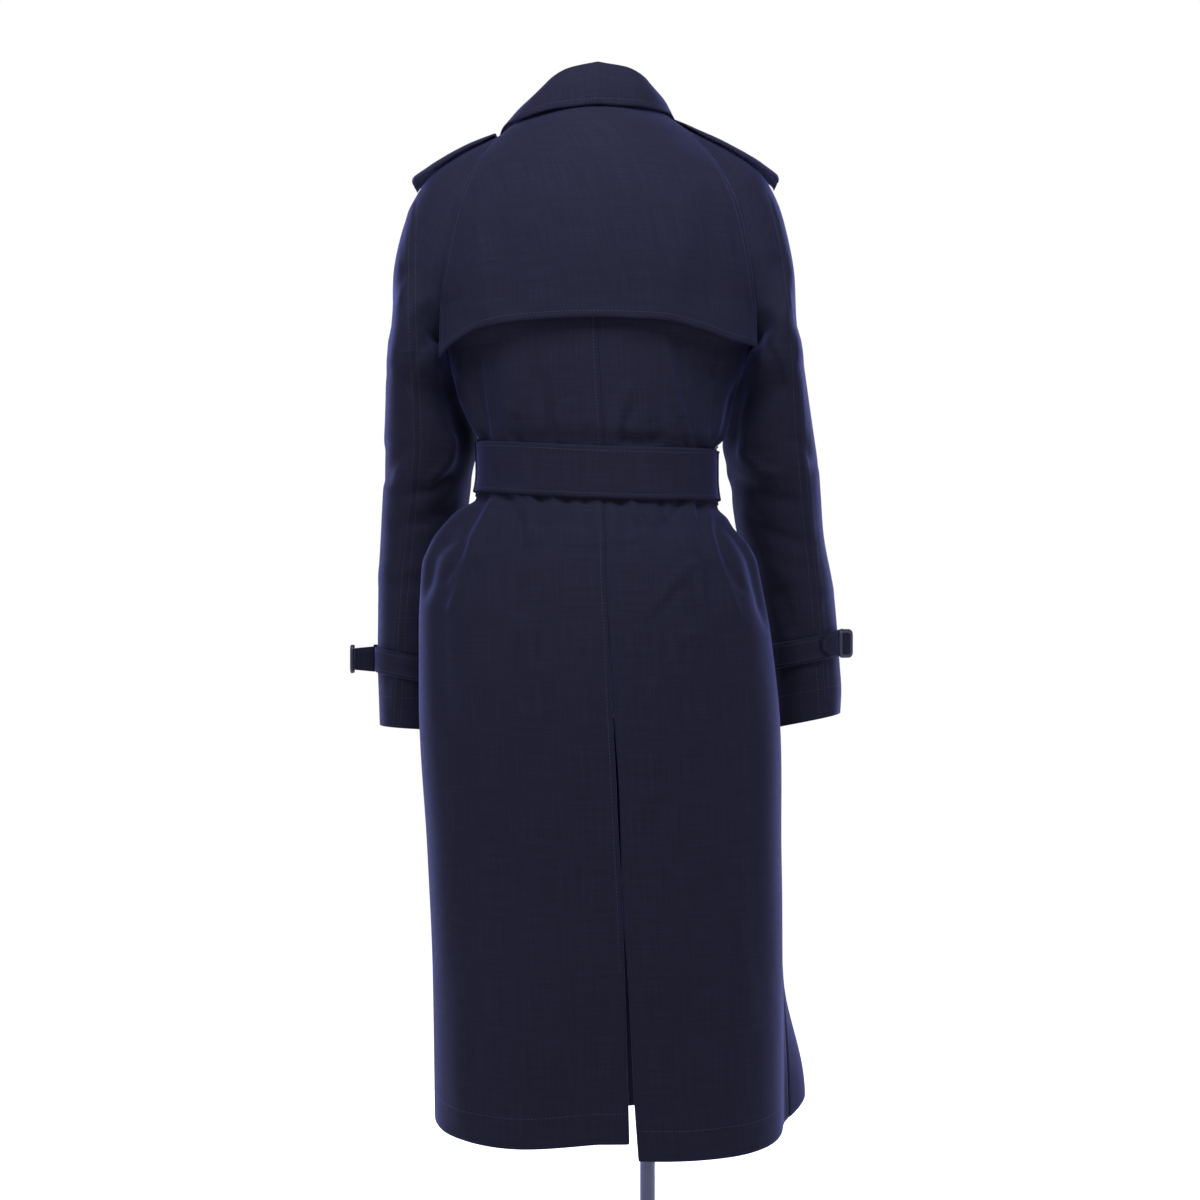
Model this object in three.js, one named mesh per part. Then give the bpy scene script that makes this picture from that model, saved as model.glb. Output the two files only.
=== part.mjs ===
// A belted trench coat worn by a limbless dress form on a pole and a round base.
// Millimetres, +Z up. The floor is z = 0 and the pole stands on the origin.
// The coat faces -Y, so its back is towards +Y and the wearer's left is +X.
import * as THREE from "three";

const DEG = Math.PI / 180;

// Driving sizes
const coatX = 52; // the coat's middle stands this far from the pole
const underarm = 1150; // level where the side seam, underarm seam and raglan seams meet
const neckline = 1404; // level of the top edge of back, fronts and sleeves
const hem = 340; // mean level of the lower edge
const cuff = 750; // level of the sleeve's lower edge at its inner seam
const wall = 2; // coat cloth with its backing
const seamGap = 0.2; // half of the space between two panels at a seam
const frontLap = 80; // how far each front passes the centre line
const lapLift = wall + 1.4; // the upper front is raised by this over the under one
const lapEase = 25; // the rise comes in over this width
const belt = { low: 994, high: 1046, thick: 3, lift: 0.8, tilt: 4.5 };
const button = { radius: 12, thick: 4, lift: 0.2, apart: 90, levels: [1128, 1079, 955, 890] };
const cloth = { color: 0x1c1d2b, roughness: 0.85, metalness: 0 };
const covered = { color: 0x14141c, roughness: 0.5, metalness: 0 };
const horn = { color: 0x1a1922, roughness: 0.35, metalness: 0 };
const linen = { color: 0xc9c1b4, roughness: 0.9, metalness: 0 };
const steel = { color: 0x6c7080, roughness: 0.35, metalness: 0.9 };

// Tables: a line of column names, then a row for each section
function table(columns, rows) {
  return rows.map((row) => Object.fromEntries(columns.map((name, i) => [name, row[i]])));
}

// The coat's body at each level, for the wearer's left. Each face runs from the centre line
// to its seam, which is the side seam below the underarm and the raglan seam above it.
// right: share of the left's width on the right; pinch: 1 is an ellipse, more is narrower.
const body = table(
  ["level", "backX", "backY", "backZ", "backTurn", "backCentre",
    "frontX", "frontY", "frontZ", "frontTurn", "frontCentre", "frontCentreZ",
    "right", "backPinch", "frontPinch"],
  [
    [340, 170, 18, 340, 90, 152, 170, 18, 340, 90, -146, 340, 1.141, 0.92, 1.1],
    [500, 172, 20, 500, 90, 151, 172, 20, 500, 90, -144, 500, 1.122, 0.92, 1.15],
    [628, 177.5, 22, 628, 90, 150, 177.5, 22, 628, 90, -143, 628, 1.076, 0.92, 1.2],
    [785, 186, 26, 785, 90, 147, 186, 26, 785, 90, -141, 785, 1.008, 0.92, 1.3],
    [860, 186, 28, 860, 90, 139, 186, 28, 860, 90, -136, 860, 0.96, 0.92, 1.3],
    [925, 183, 26, 925, 90, 125, 183, 26, 925, 90, -127, 925, 0.91, 0.92, 1.3],
    [950, 172, 24, 950, 90, 115, 172, 24, 950, 90, -119, 950, 0.9, 0.93, 1.25],
    [966, 157, 20, 966, 90, 106, 157, 20, 966, 90, -111, 966, 0.89, 0.95, 1.2],
    [980, 141, 15, 980, 90, 98, 141, 15, 980, 90, -105, 980, 0.92, 0.96, 1.12],
    [990, 125, 11, 990, 90, 92, 125, 11, 990, 90, -100, 990, 0.98, 0.97, 1.06],
    [1020, 123, 10, 1020, 90, 91, 123, 10, 1020, 90, -99, 1020, 0.985, 0.97, 1.05],
    [1050, 124, 9, 1050, 90, 92, 124, 9, 1050, 90, -100, 1050, 0.98, 0.97, 1.05],
    [1064, 131, 8, 1064, 90, 97, 131, 8, 1064, 90, -104, 1064, 1.02, 0.98, 1.04],
    [1100, 145, 4, 1100, 90, 101, 145, 4, 1100, 90, -111, 1100, 0.985, 0.99, 1.02],
    [1150, 158, 0, 1150, 90, 106, 158, 0, 1150, 90, -118, 1150, 0.995, 1, 1],
    [1172, 159.5, 38, 1163, 82, 109, 158.5, -37, 1162, 81, -123, 1171, 1, 1, 1],
    [1200, 158, 62, 1192, 74, 112, 156, -60, 1190, 72, -128, 1196, 1, 1, 1],
    [1245, 153, 73, 1240, 66, 113, 149, -72, 1236, 63, -130, 1232, 1, 1, 1],
    [1293, 143, 69, 1290, 60, 110, 139, -70, 1282, 56, -122, 1270, 1, 1, 1],
    [1335, 127, 52, 1334, 56, 102, 123, -58, 1320, 50, -104, 1300, 0.98, 1, 1],
    [1372, 101, 32, 1370, 52, 86, 97, -38, 1354, 45, -78, 1330, 0.97, 1, 1],
    [1404, 60, 30, 1400, 48, 58, 62, -22, 1382, 40, -50, 1352, 0.97, 1, 1],
  ],
);

// The sleeve at each level. Below the underarm it is a closed ring from the inner seam to
// the outer one; above it, an arc from the body's raglan seam over to the shoulder seam.
// turn: direction in which the arc leaves the inner seam; leave and arrive: its two handles.
const sleeve = table(
  ["level", "inLeft", "inRight", "inY", "outLeft", "outRight", "outY", "outZLeft", "outZRight",
    "turn", "leave", "arrive"],
  [
    [750, 158, 183, -94, 237, 263, -94, 755, 768, 90, 74, 74],
    [785, 158, 184, -93, 238, 264, -93, 786, 792, 90, 75, 75],
    [820, 157, 181, -91, 239, 262, -92, 820, 822, 90, 77, 77],
    [900, 149, 166, -85, 238, 255, -87, 900, 900, 90, 81, 81],
    [960, 143, 150, -70, 234, 243, -72, 960, 960, 89, 85, 85],
    [1004, 136, 142, -57, 230, 238, -52, 1004, 1004, 86, 88, 88],
    [1030, 131, 136, -50, 227, 235, -40, 1030, 1030, 83, 92, 92],
    [1056, 128, 131, -44, 225, 230, -29, 1056, 1056, 80, 94, 94],
    [1100, 143, 142, -34, 223, 222, -14, 1100, 1100, 78, 98, 98],
    [1150, 158, 157.2, 0, 220.5, 214, -4, 1150, 1150, 90, 100, 100],
    [1172, 159, 159, 0, 217, 208, -4, 1208, 1208, 62, 70, 86],
    [1200, 159, 159, 0, 210, 201, -3, 1258, 1258, 32, 42, 62],
    [1245, 153, 153, 0, 196, 189, -2, 1303, 1305, 6, 24, 45],
    [1293, 143, 143, 0, 172, 167, -1, 1339, 1342, -18, 20, 34],
    [1335, 127, 124, 0, 140, 135, 1, 1360, 1363, -34, 14, 21],
    [1372, 101, 98, 0, 103, 97, 4, 1376, 1381, -50, 8, 10],
    [1404, 60, 58, 0, 64, 62, 6, 1391, 1394, -60, 7, 8],
  ],
);

// How far the lower edge rises or drops round the coat: 0 is the centre back, 90 the left side
const hemLeft = table(
  ["turn", "lift"],
  [[0, 10], [30, 3], [60, 6], [90, 14], [120, 5], [150, -6], [180, -13]],
);
const hemRight = table(
  ["turn", "lift"],
  [[0, -5], [30, -9], [60, -6], [90, 10], [102, 24], [114, 34], [140, 6], [180, -13]],
);
const hemReach = 170; // the rise fades out this far above the lower edge

// The largest folds, each along a line round the coat: turns as above, right side negative
const folds = table(
  ["high", "low", "turnHigh", "turnLow", "width", "out"],
  [
    [1172, 1048, 45, 58, 7, -9],
    [1152, 1048, -39, -61, 7, -8],
    [1125, 1048, 76, 74, 8, 4],
    [1130, 1048, -80, -76, 8, -4],
    [992, 880, 60, 74, 8, -8],
    [992, 850, -66, -76, 8, -8],
    [1140, 1048, 116, 112, 9, -4.5],
    [1140, 1048, -116, -112, 9, -4.5],
    [992, 880, 116, 126, 8, -5],
    [992, 880, -116, -124, 8, -5],
    [550, 300, -107, -108, 15, 38],
    [600, 300, -88, -87, 8, -4],
    [640, 300, 116, 118, 12, 9],
    [700, 300, 34, 36, 14, 3],
    [700, 300, -44, -46, 13, 3],
  ],
);

// The centre-back seam drifts to the right; below its foot the vent stands open by gap
const backSeam = table(
  ["level", "x", "gap"],
  [[340, -36, 10], [400, -33, 7], [500, -29, 4.5], [600, -24, 1], [650, -22, 3], [700, -20, 3.6],
    [785, -15, 1.8], [860, -11, 0.8], [918, -8, 0.4], [1046, -6, 0.4], [1175, 0, 0.4], [1404, 0, 0.4]],
);

// Where each front's edge is, across the centre line: the lap, then the line the lapel rolls
// on. Both fronts have the same columns out to inner.
const frontEdge = table(
  ["level", "x", "inner"],
  [[340, 80, 80], [1120, 80, 80], [1150, 78, 78], [1172, 66, 66], [1200, 46, 46], [1245, 14, 14],
    [1293, -12, 31], [1335, -30, 44], [1372, -43, 53], [1404, -52, 57]],
);
const lapelWidth = table(
  ["level", "w"],
  [[1166, 4], [1200, 34], [1245, 56], [1293, 70], [1335, 78], [1404, 60]],
);
const lapel = {
  foot: 1168, // level where the upper front's lapel starts to turn out
  underFoot: 1238, // level where the under front's lapel comes out from the upper front
  top: 1396, // level of its top edge at the roll line
  drop: 61, // how much lower that edge is at the tip
  thick: 1.8,
  liftLeft: 0.9,
  liftRight: 1.7,
};

// Collar lines for the wearer's left, from centre back (0) to the front end (1)
const collar = table(
  ["along", "standX", "standY", "standZ", "foldX", "foldY", "foldZ", "edgeX", "edgeY", "edgeZ"],
  [
    [0, 0, 57, 1405.5, 0, 61, 1442, 0, 72.5, 1398],
    [0.2, 28, 53, 1405, 29, 56, 1436, 47, 65, 1394],
    [0.4, 52, 38, 1402.5, 50, 40, 1424, 80, 44, 1388],
    [0.6, 63, 14, 1396, 57, 14, 1414, 98, 18, 1385],
    [0.8, 64, -10, 1391, 57, -12, 1404, 104, -16, 1376],
    [1, 58, -30, 1385, 52, -36, 1392, 98, -54, 1354],
  ],
);
// The collar sits closer and higher on the right: shares of the left's reach, and rises
const collarRight = { stand: 0.97, fold: 0.92, edge: 0.8, rise: { stand: 3, fold: 6, edge: 10 } };
const collarWall = 2.4;

// Storm flap: its lower edge as a level, from the left tip (1) to the right end (-1)
const flap = { thick: 1.6, top: 1398, topLift: 0.5, lowLift: 5, hangLevel: 1200 };
const flapEdge = table(
  ["across", "level"],
  [[-1, 1157], [-0.75, 1159], [-0.5, 1168], [-0.3, 1174], [0, 1175], [0.35, 1174], [0.6, 1170], [0.8, 1160],
    [1, 1147]],
);

// Each epaulette follows the shoulder seam by level and juts out past the shoulder's curve
const epaulette = {
  thick: 3.6,
  innerRight: 1380, // level of the right one's inner end, which is the first row's on the left
  rows: table(
    ["level", "half", "lift"],
    [[1369, 17, 1], [1356, 20, 1], [1335, 22, 1], [1314, 24, 1.2], [1295, 25, 3], [1280, 25, 7],
      [1268, 25, 12]],
  ),
};

// Cuff straps: turn 0 is the sleeve's outer side, 180 its inner side
const cuffStrap = {
  wide: 26,
  thick: 2.4,
  lift: 0.8,
  outerLeft: 826,
  innerLeft: 811,
  outerRight: 843,
  innerRight: 828,
};
const cuffTip = { from: 8, to: 66, gap: 0.8, rise: 2 };
// The left strap's end stands out to its buckle
const cuffTab = { reach: 21, wide: 22, thick: 4, gap: 0.5 };
const cuffBuckle = { wide: 20, tall: 31, thick: 4, bar: 4.5, corner: 6, turnLeft: 0, turnRight: 26 };
const beltBuckle = { wide: 52, tall: 70, thick: 4, bar: 8, corner: 7 };
const tail = { thick: 3, inset: 1.5 };
const pole = { radius: 8, top: 771.7, gap: 0.3 };
const base = { radius: 175, thick: 8 };

// The dress form at each level, smooth all round and clear of the cloth but at the shoulders
const form = table(
  ["level", "half", "back", "front"],
  [
    [772, 144, 108, -92], [800, 150, 112, -96], [860, 152, 112, -94], [925, 140, 98, -86],
    [966, 118, 82, -78], [990, 106, 73, -74], [1024, 104, 71, -73], [1062, 111, 76, -77],
    [1100, 123, 84, -85], [1150, 138, 90, -92], [1200, 148, 93, -96], [1245, 156, 91, -90],
    [1285, 162, 84, -76], [1312, 164, 72, -58], [1330, 162, 62, -44], [1344, 155, 54, -34],
    [1356, 138, 46, -26], [1367, 116, 42, -20], [1377, 91, 41, -17], [1386, 64, 42, -24],
    [1398, 51, 43, -32], [1414, 46, 42, -37], [1430, 45, 41, -36],
  ],
);
const formPower = { back: 2.1, front: 1.75 };
const neckCap = { inset: 2, high: 5 };

// Smooth value of one column of a table at a place, kept between its first and last rows
function columnAt(rows, at, column) {
  const key = Object.keys(rows[0])[0];
  const last = rows.length - 1;
  const place = Math.min(Math.max(at, rows[0][key]), rows[last][key]);
  let i = 0;
  while (i < last - 1 && place > rows[i + 1][key]) i++;
  const slope = (k) => (rows[k + 1][column] - rows[k][column]) / (rows[k + 1][key] - rows[k][key]);
  const tangent = (k) => {
    if (k === 0) return slope(0);
    if (k === last) return slope(last - 1);
    const [before, after] = [slope(k - 1), slope(k)];
    return before * after <= 0 ? 0 : (2 * before * after) / (before + after);
  };
  const step = rows[i + 1][key] - rows[i][key];
  const t = (place - rows[i][key]) / step;
  const [a, b] = [rows[i][column], rows[i + 1][column]];
  return (
    a * (1 + 2 * t) * (1 - t) ** 2 + tangent(i) * step * t * (1 - t) ** 2 +
    b * t * t * (3 - 2 * t) + tangent(i + 1) * step * t * t * (t - 1)
  );
}

function smooth(t) {
  const c = Math.min(Math.max(t, 0), 1);
  return c * c * (3 - 2 * c);
}

function spread(from, to, count) {
  return Array.from({ length: count }, (_, i) => from + ((to - from) * i) / (count - 1));
}

// Folds move the cloth in or out; each fades over its ends
function foldOut(turn, level) {
  return folds.reduce((sum, f) => {
    const down = (f.high - level) / (f.high - f.low);
    if (down < 0 || down > 1) return sum;
    const line = f.turnHigh + (f.turnLow - f.turnHigh) * down;
    const ends = f.low < hem ? smooth(down * 1.2) : smooth(down * 3) * smooth((1 - down) * 4);
    return sum + f.out * ends * Math.exp(-(((turn - line) / f.width) ** 2));
  }, 0);
}

function hemLift(turn, level) {
  const fade = Math.max(0, (hem + hemReach - level) / hemReach) ** 1.4;
  const split = 90 * acrossAt("back", level, columnAt(backSeam, level, "x"));
  const [lifts, at] = turn < split ? [hemRight, -turn] : [hemLeft, Math.max(0, turn)];
  return fade * columnAt(lifts, at, "lift");
}

// Half-width and depth of one face's arc at a level
function faceArc(face, level, right) {
  const at = (column) => columnAt(body, level, face + column);
  const seam = (axis) => columnAt(body, level, (level > underarm ? face : "back") + axis);
  const turn = at("Turn") * DEG;
  const power = 2 / at("Pinch");
  const seamX = seam("X") * (right ? columnAt(body, level, "right") : 1);
  const end = arcReach(turn, power);
  return {
    turn,
    power,
    half: seamX / (Math.sin(turn) * end),
    depth: (at("Centre") - seam("Y")) / (1 - Math.cos(turn) * end),
    centre: at("Centre"),
    seamZ: level > underarm ? at("Z") : level,
    centreZ: face === "front" && level > underarm ? columnAt(body, level, "frontCentreZ") : level,
  };
}

// How far a superellipse reaches beyond the ellipse at an angle
function arcReach(angle, power) {
  const [sin, cos] = [Math.sin(angle), Math.max(1e-9, Math.cos(angle))];
  return (sin ** power + cos ** power) ** (-1 / power);
}

// Point of the coat's body: across is 0 on the centre line, 1 on the left seam, -1 on the right
function bodyPoint(face, level, across) {
  const right = across < 0;
  const arc = faceArc(face, level, right);
  const angle = Math.abs(across) * arc.turn;
  const reach = arcReach(angle, arc.power);
  const [sin, cos] = [Math.sin(angle) * reach, Math.cos(angle) * reach];
  const sign = right ? -1 : 1;
  const away = (1 - Math.cos(angle)) / (1 - Math.cos(arc.turn));
  const point = new THREE.Vector3(
    sign * arc.half * sin,
    arc.centre - arc.depth * (1 - cos),
    arc.centreZ + (arc.seamZ - arc.centreZ) * away,
  );
  const ring = face === "back" ? 90 * across : sign * (180 - 90 * Math.abs(across));
  const out = new THREE.Vector2((sign * sin) / arc.half, cos / arc.depth).normalize();
  const push = foldOut(ring, level);
  point.x += out.x * push;
  point.y += out.y * push;
  const nearBelt = Math.max(0, 1 - Math.abs(level - 1020) / 90);
  point.z += hemLift(ring, level) + belt.tilt * smooth(nearBelt * 1.5) * (point.x / 125);
  return point;
}

// The share across a face at which the body has this x
function acrossAt(face, level, x) {
  const arc = faceArc(face, level, x < 0);
  const sin = Math.min(1, Math.abs(x) / arc.half);
  const cos = (1 - sin ** arc.power) ** (1 / arc.power);
  return (Math.sign(x) * Math.atan2(sin, cos)) / arc.turn;
}

// Point of a sleeve: across is 0 on its inner or raglan seam, 1 on its outer seam
function sleevePoint(side, face, level, across) {
  const at = (column) => columnAt(sleeve, level, column);
  const [name, sign] = side > 0 ? ["Left", 1] : ["Right", -1];
  const back = face === "back" ? 1 : -1;
  const tube = level <= underarm;
  const start = tube
    ? new THREE.Vector3(sign * at("in" + name), at("inY"), level)
    : bodyPoint(face, level, sign);
  const end = new THREE.Vector3(sign * at("out" + name), at("outY"), at("outZ" + name));
  const turn = at("turn") * DEG;
  const leave = new THREE.Vector3(sign * Math.cos(turn), back * Math.sin(turn), 0);
  const handleA = start.clone().addScaledVector(leave, at("leave"));
  const handleB = end.clone().add(new THREE.Vector3(0, back * at("arrive"), 0));
  handleA.z = start.z + (end.z - start.z) * 0.3;
  handleB.z = end.z;
  return new THREE.CubicBezierCurve3(start, handleA, handleB, end).getPoint(across);
}

// Unit normal of a surface made by a function of two numbers, turned to the side asked for
function normalAt(surface, u, v, range) {
  const step = 1e-3;
  const scaleU = (range[1] - range[0]) * step;
  const scaleV = (range[3] - range[2]) * step;
  const a = surface(Math.max(range[0], u - scaleU), v);
  const b = surface(Math.min(range[1], u + scaleU), v);
  const c = surface(u, Math.max(range[2], v - scaleV));
  const d = surface(u, Math.min(range[3], v + scaleV));
  return b.sub(a).cross(d.sub(c)).normalize();
}

// A closed wall from a grid of {point, normal}: the outer face, the inner one and the rim.
// A ring's last column is joined to its first.
function wallGeometry(grid, thick, ring = false) {
  const rows = grid.length;
  const columns = grid[0].length;
  const positions = [];
  for (const layer of [0, 1]) {
    for (const row of grid) {
      for (const { point, normal } of row) {
        const p = point.clone().addScaledVector(normal, -layer * thick);
        positions.push(p.x, p.y, p.z);
      }
    }
  }
  const id = (layer, i, j) => layer * rows * columns + i * columns + (j % columns);
  const index = [];
  const quad = (a, b, c, d) => index.push(a, b, c, a, c, d);
  const steps = ring ? columns : columns - 1;
  for (let i = 0; i < rows - 1; i++) {
    for (let j = 0; j < steps; j++) {
      quad(id(0, i, j), id(0, i, j + 1), id(0, i + 1, j + 1), id(0, i + 1, j));
      quad(id(1, i, j), id(1, i + 1, j), id(1, i + 1, j + 1), id(1, i, j + 1));
    }
  }
  const rim = (a, b) => quad(id(0, ...a), id(1, ...a), id(1, ...b), id(0, ...b));
  for (let j = 0; j < steps; j++) {
    rim([0, j], [0, j + 1]);
    rim([rows - 1, j + 1], [rows - 1, j]);
  }
  for (let i = 0; i < rows - 1 && !ring; i++) {
    rim([i, columns - 1], [i + 1, columns - 1]);
    rim([i + 1, 0], [i, 0]);
  }
  const geometry = new THREE.BufferGeometry();
  geometry.setAttribute("position", new THREE.Float32BufferAttribute(positions, 3));
  geometry.setIndex(index);
  return outward(geometry);
}

// Turns a closed geometry's faces outwards, whichever way its grid ran
function outward(geometry) {
  const p = geometry.getAttribute("position");
  const index = geometry.getIndex().array;
  const [a, b, c] = [new THREE.Vector3(), new THREE.Vector3(), new THREE.Vector3()];
  let volume = 0;
  for (let i = 0; i < index.length; i += 3) {
    a.fromBufferAttribute(p, index[i]);
    b.fromBufferAttribute(p, index[i + 1]);
    c.fromBufferAttribute(p, index[i + 2]);
    volume += a.dot(b.cross(c));
  }
  if (volume < 0) {
    for (let i = 0; i < index.length; i += 3) [index[i], index[i + 1]] = [index[i + 1], index[i]];
  }
  geometry.computeVertexNormals();
  return geometry;
}

const group = new THREE.Group();
const coat = new THREE.Group();
coat.position.x = coatX;
group.add(coat);

function add(parent, name, geometry, finish) {
  const mesh = new THREE.Mesh(geometry, new THREE.MeshStandardMaterial(finish));
  mesh.name = name;
  parent.add(mesh);
  return mesh;
}

// Rows of the panels: the seam rows above the underarm are the same on body and sleeve
const seamLevels = [1150, 1160, 1172, 1185, 1200, 1222, 1245, 1270, 1293, 1315, 1335, 1355, 1372, 1388,
  1404];
const skirtLevels = [340, 368, 405, 450, 510, 590, 670, 750, 820, 880, 925, 948, 966, 980, 990, 1020, 1050,
  1064, 1090, 1120];
const bodyLevels = [...skirtLevels, ...seamLevels];
const sleeveLevels = [cuff, 785, 820, 860, 900, 930, 960, 985, 1010, 1035, 1060, 1090, 1120, ...seamLevels];

// The outward normal of one face of the body, the mean of both panels' at a seam
function bodyNormal(face, level, across) {
  const flipped = face === "back" ? 1 : -1;
  const range = [hem, neckline, -1, 1];
  const normal = normalAt((u, v) => bodyPoint(face, u, v), level, across, range).multiplyScalar(flipped);
  if (Math.abs(across) < 0.97) return normal;
  const side = Math.sign(across);
  if (level > underarm) return normal.add(sleeveNormal(side, face, level, 0)).normalize();
  const other = face === "back" ? "front" : "back";
  const beyond = normalAt((u, v) => bodyPoint(other, u, v), level, side, range);
  return normal.addScaledVector(beyond, -flipped).normalize();
}

function sleeveNormal(side, face, level, across) {
  const range = level <= underarm ? [cuff, underarm, 0, 1] : [underarm + 1e-6, neckline, 0, 1];
  const flipped = side * (face === "back" ? 1 : -1);
  return normalAt((u, v) => sleevePoint(side, face, u, v), level, across, range).multiplyScalar(flipped);
}

// The space that a seam takes out of a face, as a share of its width
function seamShare(face, level, right) {
  const arc = faceArc(face, level, right);
  return seamGap / Math.hypot(arc.half * Math.sin(arc.turn), arc.depth * (1 - Math.cos(arc.turn)));
}

function backPanel(side) {
  return bodyLevels.map((level) => {
    const gap = columnAt(backSeam, level, "gap") / 2;
    const from = acrossAt("back", level, columnAt(backSeam, level, "x") + side * gap);
    const to = side * (1 - seamShare("back", level, side < 0));
    return spread(from, to, 11).map((across) => ({
      point: bodyPoint("back", level, across),
      normal: bodyNormal("back", level, across),
    }));
  });
}

// The right front lies over the left one, so it is raised where they lap
function frontAt(side, level, across, lift = 0) {
  const normal = bodyNormal("front", level, across);
  const point = bodyPoint("front", level, across);
  const edge = columnAt(frontEdge, level, "x");
  const raised = side < 0 ? lapLift * smooth((point.x + edge + lapEase) / lapEase) : 0;
  return { point: point.addScaledVector(normal, raised + lift), normal };
}

function frontPanel(side) {
  return bodyLevels.map((level) => {
    const inner = side * columnAt(frontEdge, level, "inner");
    const shared = spread(-side * columnAt(frontEdge, level, "x"), inner, 7)
      .map((x) => acrossAt("front", level, x));
    const seam = side * (1 - seamShare("front", level, side < 0));
    const outer = spread(acrossAt("front", level, inner), seam, 6);
    return [...shared, ...outer.slice(1)].map((across) => frontAt(side, level, across));
  });
}

// At a sleeve's inner seam the panels on both sides of it share one normal
function innerSeamNormal(side, face, level) {
  if (level > underarm) return bodyNormal(face, level, side);
  return sleeveNormal(side, "back", level, 0).add(sleeveNormal(side, "front", level, 0)).normalize();
}

function sleevePanel(side, face) {
  const surface = (u, v) => sleevePoint(side, face, u, v);
  return sleeveLevels.map((level) => {
    const middle = surface(level, 0.5);
    const length = surface(level, 0).distanceTo(middle) + middle.distanceTo(surface(level, 1));
    const share = seamGap / length;
    return spread(share, 1 - share, 8).map((across, i) => ({
      point: surface(level, across),
      normal: i > 0 ? sleeveNormal(side, face, level, across) : innerSeamNormal(side, face, level),
    }));
  });
}

// The storm flap hangs from the back's upper part, so below hangLevel it keeps that part's shape
const heldLevels = seamLevels.filter((level) => level >= flap.hangLevel && level < flap.top);
const flapLevels = [flap.top, ...heldLevels.reverse()];
function flapAt(across, row) {
  const lowest = columnAt(flapEdge, across, "level");
  const below = (row - flapLevels.length + 1) / 2;
  const level = below > 0 ? flap.hangLevel + (lowest - flap.hangLevel) * below : flapLevels[row];
  const down = (flap.top - level) / (flap.top - lowest);
  const held = Math.max(level, flap.hangLevel);
  const share = across * (1 - seamShare("back", held, across < 0));
  const normal = bodyNormal("back", held, share);
  const lift = flap.thick + flap.topLift + (flap.lowLift - flap.topLift) * down ** 2;
  const point = bodyPoint("back", held, share).addScaledVector(normal, lift);
  point.z -= held - level;
  return { point, normal };
}

// A lapel lies on its front, from the line it rolls on out to its free edge
function lapelAt(side, up, out) {
  const foot = side < 0 ? lapel.foot : lapel.underFoot;
  const level = foot + (lapel.top - lapel.drop * out - foot) * up;
  const edge = columnAt(frontEdge, level, "x");
  const from = side < 0 ? -edge : Math.max(-edge, edge + 3);
  const to = -edge + columnAt(lapelWidth, level, "w");
  const x = side < 0 ? -(from + (to - from) * out) : from + (to - from) * out;
  const lift = lapel.thick + (side < 0 ? lapel.liftRight : lapel.liftLeft) + 2 * out * up;
  return frontAt(side, level, acrossAt("front", level, x), lift);
}

// A collar line's point for either side
function collarPoint(line, along) {
  const right = along < 0 ? collarRight[line] : 1;
  const at = (axis) => columnAt(collar, Math.abs(along), line + axis);
  const rise = along < 0 ? collarRight.rise[line] * smooth(-along * 1.8) : 0;
  return new THREE.Vector3(Math.sign(along) * at("X") * right, at("Y"), at("Z") + rise);
}

// The collar's section: up its stand, over the fold and down its fall
function collarSection(along) {
  const [stand, fold, edge] = ["stand", "fold", "edge"].map((line) => collarPoint(line, along));
  const across = edge.clone().sub(stand).setZ(0).normalize();
  const over = fold.clone().addScaledVector(across, 7);
  over.z -= 2.5;
  const fall = over.clone().lerp(edge, 0.5);
  fall.addScaledVector(across, 2).z += 2.5;
  return [stand, stand.clone().lerp(fold, 0.55).addScaledVector(across, -1), fold.clone().setZ(fold.z - 4),
    fold.clone().addScaledVector(across, 3), over, fall, edge];
}

// The share across a sleeve's face at which it is this far behind or before the shoulder seam
function shareAtY(side, face, level, y) {
  let [low, high] = [0, 1];
  for (let i = 0; i < 24; i++) {
    const middle = (low + high) / 2;
    if (Math.abs(sleevePoint(side, face, level, middle).y) > y) low = middle;
    else high = middle;
  }
  return low;
}

function epauletteGrid(side) {
  return epaulette.rows.map(({ level: listed, half, lift }, row) => {
    const level = side < 0 && row === 0 ? epaulette.innerRight : listed;
    return spread(-1, 1, 7).map((place) => {
      const face = place < 0 ? "front" : "back";
      const across = shareAtY(side, face, level, Math.abs(place) * half);
      const normal = sleeveNormal(side, face, level, across);
      const point = sleevePoint(side, face, level, across);
      return { point: point.addScaledVector(normal, lift + epaulette.thick), normal };
    });
  });
}

// Round the coat: 0 is the centre back, 90 the left side, 180 the centre front
function ringAt(turn, level, lift) {
  const round = ((turn + 540) % 360) - 180;
  const front = Math.abs(round) > 90;
  const across = front ? Math.sign(round) * (2 - Math.abs(round) / 90) : round / 90;
  const normal = bodyNormal(front ? "front" : "back", level, across);
  const point = bodyPoint(front ? "front" : "back", level, across);
  const within = (x) => smooth((frontLap + lapEase + x) / lapEase);
  const lapped = front ? lapLift * within(point.x) * within(-point.x) : 0;
  return { point: point.addScaledVector(normal, lapped + lift), normal };
}

function beltGrid(from, to, count, low, high, lift) {
  return [low, (low + high) / 2, high].map((level) =>
    spread(from, to, count).map((turn) => ringAt(turn, level, lift)));
}

// A loop over the belt, from its body end below to the one above
function loopGrid(turn, halfWide, over) {
  const rows = table(["level", "lift"], [
    [belt.low - 9, 2.4], [belt.low - 4, 2.4], [belt.low - 1.5, over], [1020, over], [belt.high + 1.5, over],
    [belt.high + 4, 2.4], [belt.high + 9, 2.4],
  ]);
  const across = [-1, 0, 1].map((share) => turn + share * halfWide);
  return rows.map(({ level, lift }) => across.map((place) => ringAt(place, level, lift)));
}

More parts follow.
